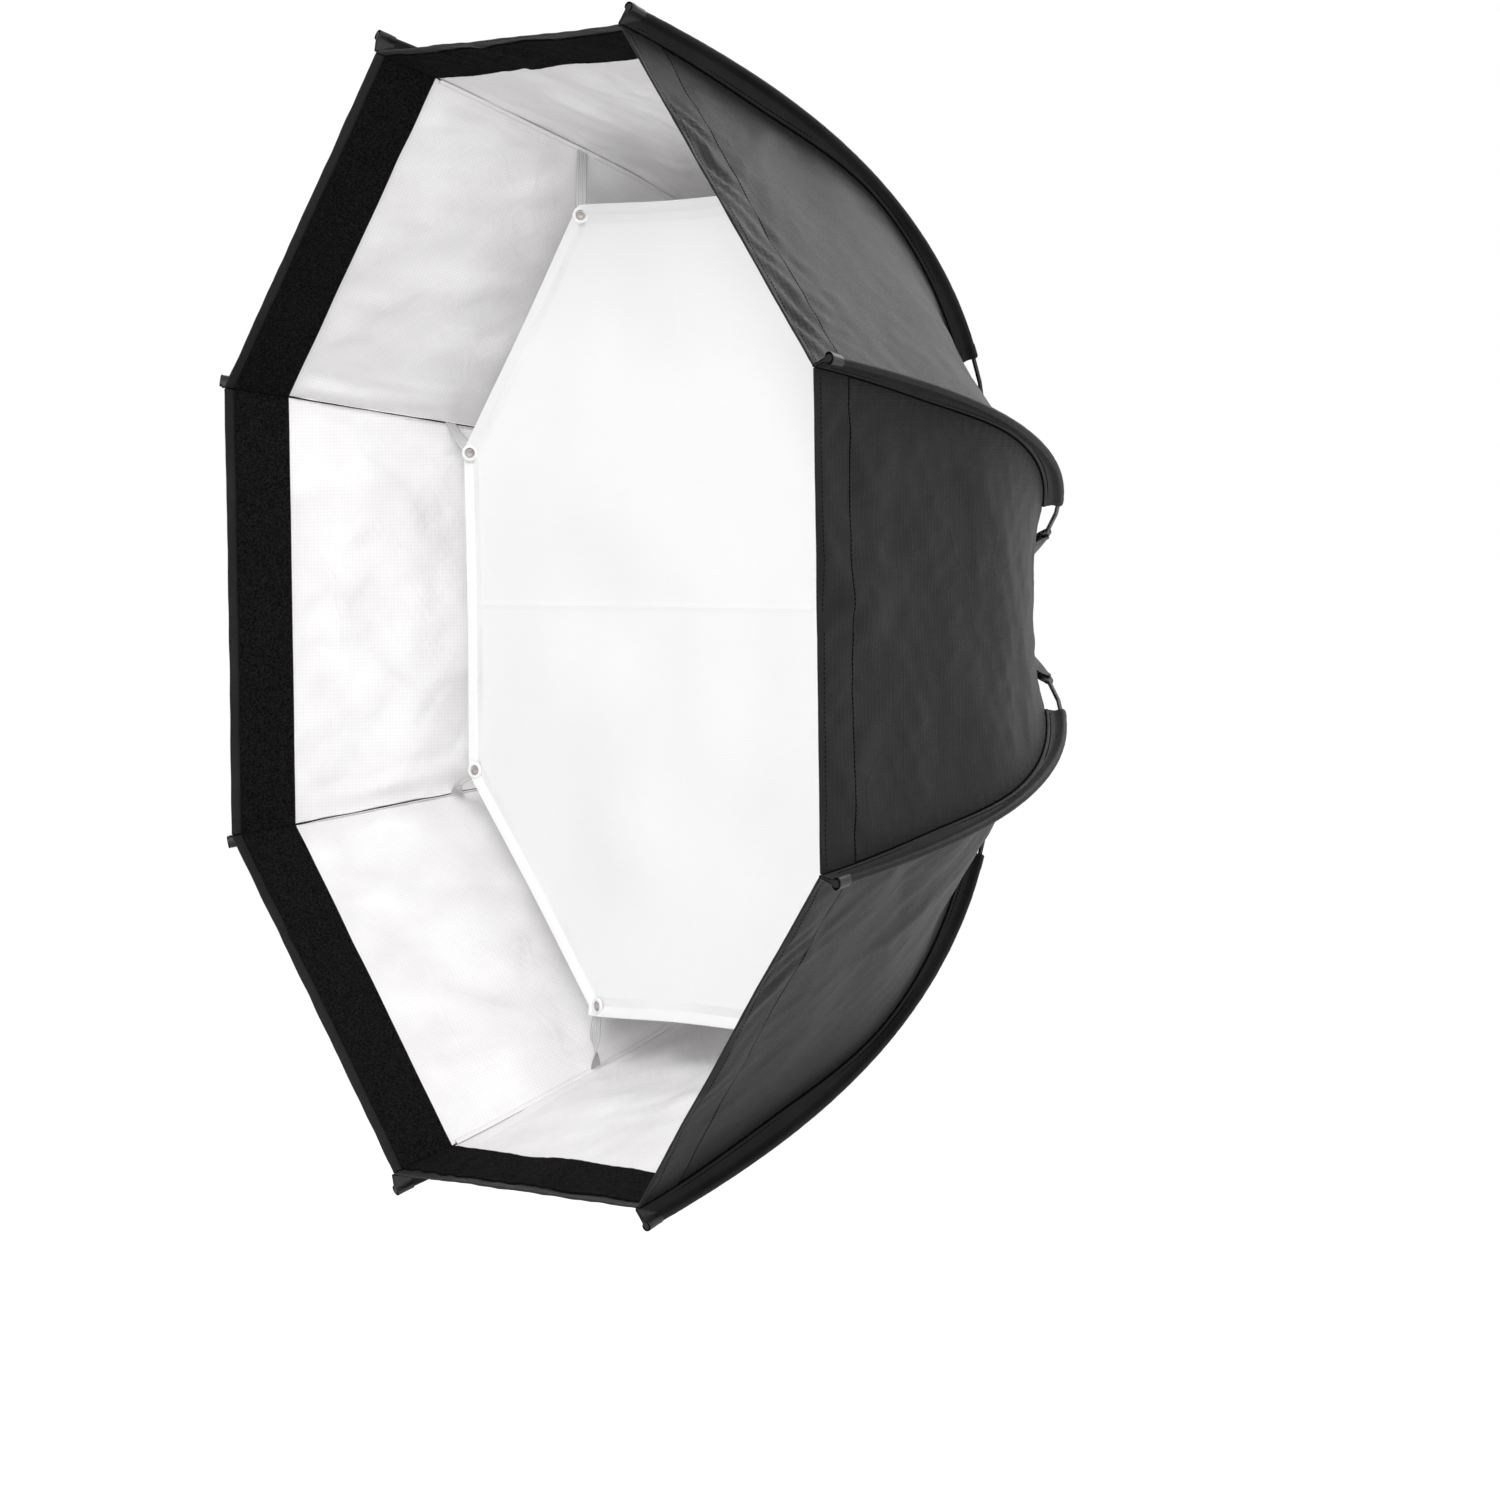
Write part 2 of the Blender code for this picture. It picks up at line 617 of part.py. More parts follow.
def sheet_mesh(rows, columns, place, thickness):
    """A cloth sheet: a grid laid on a surface and given its thickness."""
    mesh = bpy.data.meshes.new("sheet")
    work = bmesh.new()
    bmesh.ops.create_grid(work, x_segments=rows, y_segments=columns, size=1.0)
    for vertex in work.verts:
        vertex.co = place((vertex.co.x + 1) / 2, vertex.co.y)
    bmesh.ops.recalc_face_normals(work, faces=work.faces)
    work.to_mesh(mesh)
    work.free()
    item = scratch_object(mesh)
    solid = item.modifiers.new("cloth", "SOLIDIFY")
    solid.thickness = thickness
    solid.offset = 0.0
    return as_mesh(item)


def panel_mesh():
    """One fabric panel, taut along its seams and drawn in at the middle."""
    def place(along, across):
        return panel_point(along * PANEL_ROWS, across)
    return sheet_mesh(PANEL_ROWS, PANEL_COLUMNS, place, PANEL_THICKNESS)


def strip_mesh():
    """Hook-and-loop strip sewn inside the rim of one panel."""
    first = row_at(RIM_Y + STRIP_START)
    last = row_at(RIM_Y + STRIP_START + STRIP_WIDTH)
    inward = PANEL_THICKNESS / 2 + STRIP_GAP + STRIP_THICKNESS / 2

    def place(along, across):
        return panel_point(first + along * (last - first), across, inward, STRIP_EDGE_GAP)
    return sheet_mesh(1, PANEL_COLUMNS, place, STRIP_THICKNESS)


def diffuser_mesh():
    """Flat eight-sided cloth, its corners at the stations."""
    outline = [(DIFFUSER_RADIUS * math.cos(HALF_STEP + index * STATION_STEP),
                DIFFUSER_RADIUS * math.sin(HALF_STEP + index * STATION_STEP))
               for index in range(SIDES)]
    mesh = plate([outline], DIFFUSER_THICKNESS)
    mesh.transform(Matrix.Rotation(math.pi / 2, 4, "X"))
    mesh.transform(Matrix.Translation((0.0, RIM_Y + DIFFUSER_BEHIND_RIM, 0.0)))
    return mesh


def strap_mesh():
    """Elastic strap from the seam to the press stud at a corner of the diffuser."""
    cloth_front = RIM_Y + DIFFUSER_BEHIND_RIM - DIFFUSER_THICKNESS / 2 - SEAT_GAP
    snap_y = cloth_front - SNAP_THICKNESS / 2
    end = seam_beside_rod(STRAP_ROW / SLEEVE_ROWS, SEAM_ALLOWANCE + SEAT_GAP + STRAP_THICKNESS)
    snap_radius = DIFFUSER_RADIUS - SNAP_INSET
    path = [(snap_radius, snap_y), (DIFFUSER_RADIUS + STRAP_FLAT, snap_y), end]
    strap = plate([band(path, STRAP_THICKNESS / 2)], STRAP_WIDTH)
    snap = cylinder(SNAP_RADIUS, SNAP_THICKNESS, (0.0, 0.0))
    snap.transform(Matrix.Rotation(math.pi / 2, 4, "X"))
    snap.transform(Matrix.Translation((snap_radius, snap_y, 0.0)))
    return combine(strap, snap, "UNION")


# ---------------------------------------------------------------- assembly

def place_piece(collection, name, mesh, material, turn=0.0, origin=(0.0, 0.0)):
    """An object turned about the Y axis, with its own origin at a point of its station."""
    shape = mesh.copy()
    shape.name = name
    shape.transform(Matrix.Translation((-origin[0], -origin[1], 0.0)))
    shape.materials.append(material)
    for face in shape.polygons:
        face.use_smooth = True
    shape.set_sharp_from_angle(angle=math.radians(35))
    item = bpy.data.objects.new(name, shape)
    item.rotation_euler = (0.0, -turn, 0.0)
    item.location = Matrix.Rotation(-turn, 4, "Y") @ Vector((*origin, 0.0))
    collection.objects.link(item)
    return item


def build():
    clear_scene()
    collection = make_collection("studio_softbox")
    material = make_materials()
    pivot = (PIVOT_RADIUS, PIVOT_Y)

    place_piece(collection, "hub_ring", hub_mesh(), material["cast_aluminium"])
    place_piece(collection, "bayonet_ring", bayonet_mesh(), material["bright_steel"])
    place_piece(collection, "runner_ring", runner_mesh(), material["moulded_plastic"])
    place_piece(collection, "inner_diffuser", diffuser_mesh(), material["diffusion_cloth"])
    catch = catch_mesh()
    for index in range(CATCH_COUNT):
        place_piece(collection, f"catch_spring_{index + 1}", catch, material["spring_steel"],
                    index * 2 * math.pi / CATCH_COUNT)

    rod = rod_mesh()
    strut = strut_mesh()
    sleeve = sleeve_mesh()
    panel = panel_mesh()
    strip = strip_mesh()
    strap = strap_mesh()
    for index in range(SIDES):
        number = index + 1
        turn = HALF_STEP + index * STATION_STEP
        place_piece(collection, f"rod_{number}", rod, material["black_steel"], turn, pivot)
        place_piece(collection, f"strut_{number}", strut, material["black_steel"], turn, STRUT_PIN)
        place_piece(collection, f"sleeve_{number}", sleeve, material["sleeve_webbing"], turn, pivot)
        place_piece(collection, f"panel_{number}", panel, material["outer_fabric"],
                    turn + HALF_STEP)
        place_piece(collection, f"loop_strip_{number}", strip, material["loop_fleece"],
                    turn + HALF_STEP)
        place_piece(collection, f"strap_{number}", strap, material["elastic"], turn, pivot)


build()
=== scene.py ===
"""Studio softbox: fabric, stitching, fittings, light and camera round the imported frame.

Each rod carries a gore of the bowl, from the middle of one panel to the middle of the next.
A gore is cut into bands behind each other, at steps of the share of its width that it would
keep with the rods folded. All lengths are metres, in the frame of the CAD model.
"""
import bpy
import math
import numpy as np
from functools import partial
from mathutils import Matrix, Vector


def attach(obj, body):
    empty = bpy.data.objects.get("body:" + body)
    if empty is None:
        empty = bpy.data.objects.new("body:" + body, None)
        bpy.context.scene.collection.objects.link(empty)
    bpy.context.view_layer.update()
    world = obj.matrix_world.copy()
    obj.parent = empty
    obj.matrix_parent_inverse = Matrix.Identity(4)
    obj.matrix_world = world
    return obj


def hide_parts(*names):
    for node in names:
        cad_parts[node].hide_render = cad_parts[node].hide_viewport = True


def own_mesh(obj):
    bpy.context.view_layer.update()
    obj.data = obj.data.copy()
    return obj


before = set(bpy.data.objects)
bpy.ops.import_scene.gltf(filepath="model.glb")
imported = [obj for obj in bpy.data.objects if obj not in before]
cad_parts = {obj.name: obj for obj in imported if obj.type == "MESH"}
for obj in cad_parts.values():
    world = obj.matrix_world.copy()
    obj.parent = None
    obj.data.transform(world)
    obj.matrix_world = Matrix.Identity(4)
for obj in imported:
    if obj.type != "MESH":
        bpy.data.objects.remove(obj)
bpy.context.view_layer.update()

# ---------------- sizes of the frame

TURN = 2 * math.pi
SIDES = 8
STEP = TURN / SIDES
HALF = STEP / 2                       # from a rod to the middle of a panel
ROD_LENGTH = 0.657
ROD_ROOT, ROD_TIP, ROD_BIAS = math.radians(4.7), math.radians(68.4), 0.786
PIVOT_RADIUS, PIVOT_Y = 0.075, -0.009
FOLD_ANGLE = math.radians(40.0)
SLEEVE_LENGTH = 0.502
TUNNEL_RADIUS = 0.0033
FIN_FRONT, FIN_SHOULDER, FIN_WAIST, FIN_BACK = 0.0155, 0.0185, 0.0105, 0.0150
FIN_SHOULDER_AT, FIN_WAIST_AT = 0.30, 0.62
FIN_HALF = 0.0006
SEAM_ALLOWANCE = 0.0038
POCKET_LENGTH = 0.0030
PANEL_HALF = 0.0004
PANEL_ROWS, SLEEVE_ROWS = 11, 9
PANEL_PULL, COLLAR_PULL = 0.0105, 0.10
COLLAR_RADIUS, COLLAR_BEHIND_RIM = 0.160, 0.4085
STRIP_START, STRIP_END = 0.0080, 0.0505
DIFFUSER_RADIUS, DIFFUSER_BEHIND_RIM = 0.355, 0.163
STRAP_BEHIND_RIM = 0.176
SNAP_INSET = 0.0085
DIFFUSER_KEEP = 0.39187


def smooth(start, end, share):
    """From start to end as a share goes from 0 to 1, level at both."""
    share = np.clip(share, 0.0, 1.0)
    return start + (end - start) * share * share * (3 - 2 * share)


def bell(distance, width):
    return np.exp(-(distance / width) ** 2)


def rod_angle(station):
    return HALF + station * STEP


def distances(path):
    """How far along its path each point is."""
    return np.concatenate([[0], np.cumsum(np.linalg.norm(np.diff(path, axis=0), axis=1))])


def under(radius, y, lean, depth, side):
    """Points at a depth under a rod or seam, and at a side of its plane."""
    return np.stack(np.broadcast_arrays(radius - depth * np.sin(lean),
                                        y - depth * np.cos(lean), side), -1)


def make_rod():
    """The bent rod: distance from its pivot, radius, y and lean."""
    count = 400
    share = np.linspace(0, 1, count + 1)
    lean = ROD_ROOT + (ROD_TIP - ROD_ROOT) * (share + ROD_BIAS * share * (1 - share))
    step = ROD_LENGTH / count
    radius = PIVOT_RADIUS + np.concatenate([[0], np.cumsum(np.cos(lean[:-1]) * step)])
    y = PIVOT_Y - np.concatenate([[0], np.cumsum(np.sin(lean[:-1]) * step)])
    return share * ROD_LENGTH, radius, y, lean


ROD = make_rod()


def rod_at(distance):
    """Radius, y and lean at distances along the rod, straight past its tip."""
    distance = np.asarray(distance, float)
    radius, y, lean = (np.interp(distance, ROD[0], line) for line in ROD[1:])
    past = np.maximum(distance - ROD_LENGTH, 0.0)
    return radius + past * np.cos(lean), y - past * np.sin(lean), lean


def fin_width(share):
    share = np.asarray(share, float)
    front = smooth(FIN_FRONT, FIN_SHOULDER, share / FIN_SHOULDER_AT)
    middle = smooth(FIN_SHOULDER, FIN_WAIST,
                    (share - FIN_SHOULDER_AT) / (FIN_WAIST_AT - FIN_SHOULDER_AT))
    back = smooth(FIN_WAIST, FIN_BACK, (share - FIN_WAIST_AT) / (1 - FIN_WAIST_AT))
    return np.where(share < FIN_SHOULDER_AT, front, np.where(share < FIN_WAIST_AT, middle, back))


def beside_rod(share):
    """Radius and y of the seam, at shares of the sleeve from the rim."""
    radius, y, lean = rod_at(ROD_LENGTH - np.asarray(share) * SLEEVE_LENGTH)
    return under(radius, y, lean, fin_width(share), 0.0)[..., :2]


RIM_RADIUS, RIM_Y = beside_rod(0.0)


def make_seam():
    """The seam under the rod: distance from the rim, radius, y, lean and panel row."""
    share = np.linspace(0, 1, 241)
    start, before = beside_rod(1.0), beside_rod(1.0 - 1.0 / SLEEVE_ROWS)
    end = np.array([COLLAR_RADIUS, RIM_Y + COLLAR_BEHIND_RIM])
    ahead = (start - before) / np.linalg.norm(start - before)
    middle = start + ahead * np.linalg.norm(end - start) / 2
    t = np.linspace(0, 1, 41)[1:, None]
    collar = (1 - t) ** 2 * start + 2 * t * (1 - t) * middle + t ** 2 * end
    line = np.concatenate([beside_rod(share), collar])
    rows = np.concatenate([share * SLEEVE_ROWS,
                           SLEEVE_ROWS + t[:, 0] * (PANEL_ROWS - SLEEVE_ROWS)])
    along = distances(line)
    slope = np.gradient(line, along, axis=0)
    return along, line[:, 0], line[:, 1], np.arctan2(slope[:, 1], -slope[:, 0]), rows


SEAM = make_seam()
SEAM_LENGTH = float(SEAM[0][-1])


def seam_at(along):
    return tuple(np.interp(along, SEAM[0], line) for line in SEAM[1:])


def along_at_y(behind_rim):
    return float(np.interp(RIM_Y + behind_rim, SEAM[2], SEAM[0]))


def folded(radius, y):
    """Where a point in a rod's plane goes when the rods are folded."""
    out, front = radius - PIVOT_RADIUS, PIVOT_Y - y
    return (PIVOT_RADIUS + out * math.cos(FOLD_ANGLE) - front * math.sin(FOLD_ANGLE),
            PIVOT_Y - out * math.sin(FOLD_ANGLE) - front * math.cos(FOLD_ANGLE))


# ---------------- mesh tools

def add_object(name, data):
    item = bpy.data.objects.new(name, data)
    bpy.context.scene.collection.objects.link(item)
    return item


def new_mesh(name, points, faces, materials):
    mesh = bpy.data.meshes.new(name)
    mesh.from_pydata(points, [], faces)
    mesh.polygons.foreach_set("use_smooth", np.ones(len(faces), bool))
    for material in materials:
        mesh.materials.append(material)
    return mesh


def pairs(a, b):
    """Two coordinates over the rows and columns of a grid."""
    return np.stack(np.broadcast_arrays(a, b), -1)


class Cloth:
    """Grids of points that become one mesh, each with its own material and normals."""

    def __init__(self):
        self.points, self.faces, self.slots, self.uvs, self.normals = [], [], [], [], []
        self.count = 0

    def grid(self, points, slot=0, uv=None, normals=None, flip=False, wrap=False):
        points = np.asarray(points, float)
        rows, columns = points.shape[:2]
        built = grid_normals(points, wrap)
        if normals is None:
            normals = -built if flip else built
        else:
            flip = float((built * normals).sum()) < 0
        if uv is None:
            uv = np.zeros((rows, columns, 2))
        index = self.count + np.arange(rows * columns).reshape(rows, columns)
        if wrap:
            index = np.concatenate([index, index[:, :1]], axis=1)
        corners = [index[:-1, :-1], index[1:, :-1], index[1:, 1:], index[:-1, 1:]]
        if flip:
            corners.reverse()
        faces = np.stack([corner.ravel() for corner in corners], -1)
        slot = np.broadcast_to(slot, index[:-1, :-1].shape)
        self.points.append(points.reshape(-1, 3))
        self.normals.append(np.asarray(normals).reshape(-1, 3))
        self.uvs.append(np.asarray(uv, float).reshape(-1, 2))
        self.faces.append(faces)
        self.slots.append(slot.ravel())
        self.count += rows * columns
        return self

    def slab(self, top, under, slot=0, uv=None, top_normals=None, under_normals=None,
             under_slot=None, ends=(True, True)):
        """Two layers and the narrow faces that close them; ends are the first and last row."""
        self.grid(top, slot, uv, top_normals)
        self.grid(under, slot if under_slot is None else under_slot, uv, under_normals,
                  flip=True)
        edge = slot if np.ndim(slot) == 0 else 0
        self.grid(np.stack([top[:, 0], under[:, 0]], 1), edge, flip=True)
        self.grid(np.stack([top[:, -1], under[:, -1]], 1), edge)
        if ends[0]:
            self.grid(np.stack([top[0], under[0]]), edge, flip=True)
        if ends[1]:
            self.grid(np.stack([top[-1], under[-1]]), edge)
        return self

    def tube(self, loops, slot=0, uv=None, flip=False):
        """Loops of an even number of points, closed round and at both ends."""
        self.grid(loops, slot, uv, flip=flip, wrap=True)
        half = loops.shape[1] // 2
        for end, over in ((0, not flip), (-1, flip)):
            edge = slot if np.ndim(slot) == 0 else int(slot[end, 0])
            self.grid(np.stack([loops[end][:half], loops[end][:half - 1:-1]]), edge, flip=over)
        return self

    def object(self, name, materials):
        """One mesh; points that coincide are joined, so that a closed piece is closed."""
        points, normals = np.concatenate(self.points), np.concatenate(self.normals)
        faces, uvs = np.concatenate(self.faces), np.concatenate(self.uvs)
        slots = np.concatenate(self.slots)
        _, kept, joined = np.unique(np.round(points, 6), axis=0, return_index=True,
                                    return_inverse=True)
        joined = joined.reshape(-1)[faces]
        loops, shapes, used = [], [], []
        for number, (face, corners) in enumerate(zip(joined.tolist(), faces.tolist())):
            shape = {vertex: corner for vertex, corner in zip(face, corners)}
            if len(shape) > 2:
                shapes.append(list(shape))
                loops += shape.values()
                used.append(number)
        mesh = new_mesh(name, points[kept].tolist(), shapes, materials)
        mesh.polygons.foreach_set("material_index", slots[used].astype(np.int32))
        layer = mesh.uv_layers.new(name="UVMap")
        layer.data.foreach_set("uv", uvs[loops].astype(np.float32).ravel())
        mesh.normals_split_custom_set(normals[loops].tolist())
        return add_object(name, mesh)


def unit(vectors):
    return vectors / np.maximum(np.linalg.norm(vectors, axis=-1, keepdims=True), 1e-12)


def grid_normals(points, wrap=False):
    if wrap:
        around = (np.roll(points, -1, 1) - np.roll(points, 1, 1)) / 2
    else:
        around = np.gradient(points, axis=1)
    return unit(np.cross(np.gradient(points, axis=0), around))


def turned(points, angle):
    """Points of a station's frame, (radial, y, tangential), in the model's frame."""
    points = np.asarray(points, float)
    c, s = math.cos(angle), math.sin(angle)
    return np.stack([points[..., 0] * c - points[..., 2] * s, points[..., 1],
                     points[..., 0] * s + points[..., 2] * c], -1)


def waves(rng, a, b, shortest, longest):
    """A smooth random field over two coordinates, about one unit high."""
    count = 22
    field = np.zeros(np.broadcast(a, b).shape)
    for _ in range(count):
        heading = rng.uniform(0, math.pi)
        length = math.exp(rng.uniform(math.log(shortest), math.log(longest)))
        turn = rng.uniform(0, TURN)
        along = (a * math.cos(heading) + b * math.sin(heading)) / length
        field += np.sin(TURN * along + turn)
    return field / math.sqrt(count)


def creases(rng, a, b, count, box, length, width, height, heading=(0, math.pi), sharp=False):
    """Ridges and valleys along short random lines."""
    field = np.zeros(np.broadcast(a, b).shape)
    for _ in range(count):
        centre = [rng.uniform(low, high) for low, high in box]
        turn = rng.uniform(*heading)
        reach, half = rng.uniform(*length) / 2, rng.uniform(*width)
        rise = rng.uniform(*height) * rng.choice((-1, 1))
        bend = rng.uniform(-1.2, 1.2) * (0.4 if sharp else 1.0)
        da, db = a - centre[0], b - centre[1]
        along = da * math.cos(turn) + db * math.sin(turn)
        across = -da * math.sin(turn) + db * math.cos(turn) + bend * along * along
        shape = np.exp(-np.abs(across) / half) if sharp else bell(across, half)
        field += rise * shape * bell(along, reach)
    return field


# ---------------- materials

def node(tree, kind, inputs=None, **settings):
    """A node with its settings; each input gets a value or a link."""
    made = tree.nodes.new(kind)
    for name, value in settings.items():
        setattr(made, name, value)
    for name, value in (inputs or {}).items():
        if isinstance(value, bpy.types.NodeSocket):
            tree.links.new(value, made.inputs[name])
        else:
            made.inputs[name].default_value = value
    return made


def maths(tree, operation, *values, clamp=False):
    return node(tree, "ShaderNodeMath", dict(enumerate(values)), operation=operation,
                use_clamp=clamp).outputs[0]


def srgb(value):
    value = value / 255
    return value / 12.92 if value <= 0.04045 else ((value + 0.055) / 1.055) ** 2.4


def colour(*tones):
    """A colour from three tones of 0 to 255, as a picture shows them."""
    return (*(srgb(tone) for tone in tones), 1.0)


class Finish:
    """A material under construction: a Principled shader and what feeds it."""

    def __init__(self, name, roughness=0.5, metallic=0.0, specular=0.5, sheen=0.0,
                 sheen_roughness=0.5):
        self.material = bpy.data.materials.new(name)
        self.material.use_nodes = True
        self.tree = self.material.node_tree
        self.node, self.maths = partial(node, self.tree), partial(maths, self.tree)
        self.shader = self.tree.nodes["Principled BSDF"]
        for socket, value in (("Roughness", roughness), ("Metallic", metallic),
                              ("Specular IOR Level", specular), ("Sheen Weight", sheen),
                              ("Sheen Roughness", sheen_roughness)):
            self.shader.inputs[socket].default_value = value
        self.height = None
        self.uv = self.node("ShaderNodeUVMap", uv_map="UVMap").outputs[0]
        self.place = self.node("ShaderNodeTexCoord").outputs["Object"]

    def link(self, source, name):
        self.tree.links.new(source, self.shader.inputs[name])

    def noise(self, scale, detail=3.0, rough=0.5, source=None, stretch=None):
        source = self.place if source is None else source
        if stretch is not None:
            source = self.node("ShaderNodeVectorMath", {0: source, 1: stretch},
                               operation="MULTIPLY").outputs[0]
        return self.node("ShaderNodeTexNoise", {
            "Vector": source, "Scale": scale, "Detail": detail,
            "Roughness": rough}).outputs["Fac"]

    def spread(self, source, low, high, start, end):
        """Values from start to end, taken to values from low to high."""
        return self.node("ShaderNodeMapRange", {
            "Value": source, "From Min": start, "From Max": end, "To Min": low,
            "To Max": high}).outputs[0]

    def ramp(self, source, low, high, start, end):
        """Values from start to end, taken to colours from low to high."""
        return self.node("ShaderNodeMix", {
            "Factor": self.spread(source, 0.0, 1.0, start, end), 6: colour(*low),
            7: colour(*high)}, data_type="RGBA").outputs[2]

    def paint(self, source, low, high, start=0.35, end=0.65):
        self.link(self.ramp(source, low, high, start, end), "Base Color")

    def axis(self, source, index):
        return self.node("ShaderNodeSeparateXYZ", {0: source}).outputs[index]

    def bump(self, source, height):
        """Adds relief of a height in metres."""
        raised = self.maths("MULTIPLY", source, height)
        self.height = raised if self.height is None else self.maths("ADD", self.height, raised)

    def thread(self, index, pitch, sharp=1.0):
        """Rows of rounded threads across one direction of the cloth, 0 to 1 high."""
        turn = self.maths("MULTIPLY", self.axis(self.uv, index), TURN / pitch)
        wave = self.maths("MULTIPLY_ADD", self.maths("COSINE", turn), 0.5, 0.5)
        return wave if sharp == 1.0 else self.maths("POWER", wave, sharp)

    def weave(self, pitch, height, sharp=1.0):
        """Adds threads in both directions of the cloth."""
        for index in (0, 1):
            self.bump(self.thread(index, pitch, sharp), height)

    def ridge(self, source, place, width):
        """1 where a value is at its place, down to 0 a width away from it."""
        off = self.maths("ABSOLUTE", self.maths("SUBTRACT", source, place))
        return self.maths("SUBTRACT", 1.0, self.maths("DIVIDE", off, width), clamp=True)

    def crinkles(self, scale, width, height, spread, amount):
        """Adds sparse thin creases: the ridges of a noise, kept in patches."""
        ridge = self.ridge(self.noise(scale, 1.0, 0.4), 0.5, width)
        patch = self.spread(self.noise(spread, 2.0), 0.0, 1.0, amount, amount + 0.12)
        self.bump(self.maths("MULTIPLY", ridge, patch), height)

    def streaks(self, turn, scale):
        """Long drawn-out unevenness that runs at an angle across the cloth."""
        at_angle = self.node("ShaderNodeMapping", {"Vector": self.uv, "Rotation": (0, 0, turn)})
        return self.noise(scale, 2.0, 0.5, at_angle.outputs[0], (0.14, 1.0, 1.0))

    def done(self):
        bump = self.node("ShaderNodeBump", {"Height": self.height, "Strength": 1.0,
                                            "Distance": 1.0})
        self.link(bump.outputs[0], "Normal")
        return self.material


def make_nylon():
    """Black ripstop nylon: a fine weave with heavier threads in a grid."""
    cloth = Finish("outer_nylon", specular=0.15, sheen=0.02, sheen_roughness=0.35)
    cloth.paint(cloth.noise(9.0, 3.0, 0.55), (26, 26, 27), (32, 31, 32))
    grain = cloth.noise(900.0, 2.0, 0.6, stretch=(1.0, 0.6, 1.0))
    cloth.link(cloth.spread(grain, 0.46, 0.60, 0.3, 0.7), "Roughness")
    cloth.weave(0.0011, 0.000035)
    cloth.weave(0.0052, 0.00007, 14.0)
    cloth.bump(cloth.noise(60.0), 0.0002)
    cloth.crinkles(14.0, 0.030, 0.0002, 7.0, 0.52)
    return cloth.done()


def make_lining():
    """Silver-white lining: a soft metallic sheen under a fine woven grid."""
    cloth = Finish("silver_lining", roughness=0.42, metallic=0.10)
    grid = cloth.maths("MAXIMUM", cloth.thread(0, 0.0030, 10.0), cloth.thread(1, 0.0030, 10.0))
    mixed = cloth.node("ShaderNodeMix", {
        "Factor": cloth.maths("MULTIPLY", grid, 0.35),
        6: cloth.ramp(cloth.noise(14.0), (230, 228, 228), (240, 239, 239), 0.35, 0.65),
        7: colour(232, 231, 232)}, data_type="RGBA", blend_type="MULTIPLY")
    cloth.link(mixed.outputs[2], "Base Color")
    cloth.bump(grid, 0.00003)
    cloth.bump(cloth.noise(60.0), 0.0003)
    for turn, scale, height in ((0.65, 26.0, 0.0011), (-0.5, 22.0, 0.0008), (1.1, 60.0, 0.0004),
                                (0.6, 190.0, 0.00020), (-0.45, 230.0, 0.00014)):
        cloth.bump(cloth.streaks(turn, scale), height)
    cloth.crinkles(12.0, 0.022, 0.0002, 6.0, 0.50)
    cloth.bump(cloth.noise(700.0, 1.0), 0.00003)
    return cloth.done()


def make_sleeve_cloth():
    """Dense black nylon of the sleeves, hems and bindings."""
    cloth = Finish("sleeve_nylon", roughness=0.58, specular=0.18, sheen=0.03,
                   sheen_roughness=0.4)
    cloth.paint(cloth.noise(25.0), (22, 22, 23), (29, 29, 30))
    cloth.weave(0.0008, 0.00005)
    cloth.bump(cloth.noise(120.0), 0.0004)
    return cloth.done()


def make_fleece():
    """Brushed loop of the hook-and-loop band: fuzzy and matte."""
    cloth = Finish("loop_fleece", roughness=0.95, specular=0.02)
    fuzz = cloth.noise(560.0, 4.0, 0.7)
    cloth.paint(fuzz, (7, 7, 8), (36, 36, 37), 0.38, 0.70)
    cloth.bump(fuzz, 0.0011)
    cloth.bump(cloth.noise(1400.0, 2.0, 0.6), 0.0004)
    return cloth.done()


def make_diffusion():
    """White diffusion cloth: a close plain weave and the faint ridges of its packing folds."""
    cloth = Finish("diffusion_cloth", roughness=0.75, specular=0.20, sheen=0.10)
    cloth.paint(cloth.noise(5.0), (243, 243, 244), (246, 246, 247))
    cloth.weave(0.0012, 0.00004)
    cloth.bump(cloth.noise(30.0), 0.0003)
    for index, place, height in ((2, 0.004, 0.0004), (0, 0.010, 0.00012)):
        cloth.bump(cloth.ridge(cloth.axis(cloth.place, index), place, 0.004), height)
    return cloth.done()


def make_tape():
    """White woven tape along the edge of the diffuser."""
    cloth = Finish("edge_tape", roughness=0.65, specular=0.25, sheen=0.10)
    ribs = cloth.thread(0, 0.0014, 2.0)
    cloth.paint(ribs, (238, 238, 238), (246, 246, 246), 0.0, 1.0)
    cloth.bump(ribs, 0.00012)
    return cloth.done()


def make_elastic():
    """Light grey ribbed elastic."""
    cloth = Finish("elastic_webbing", roughness=0.75, specular=0.2, sheen=0.15)
    ribs = cloth.thread(0, 0.0016, 1.5)
    cloth.paint(ribs, (188, 188, 188), (216, 216, 216), 0.0, 1.0)
    cloth.bump(ribs, 0.00025)
    cloth.bump(cloth.thread(1, 0.0009), 0.00006)
    return cloth.done()


def make_patch():
    """Smooth coated patch on the rod pockets, with a soft gloss."""
    cloth = Finish("pocket_patch", roughness=0.34, specular=0.42)
    shade = cloth.noise(40.0)
    cloth.paint(shade, (24, 24, 25), (38, 38, 39))
    cloth.link(cloth.spread(shade, 0.34, 0.50, 0.3, 0.7), "Roughness")
    cloth.bump(cloth.noise(180.0, 3.0, 0.55), 0.0004)
    return cloth.done()


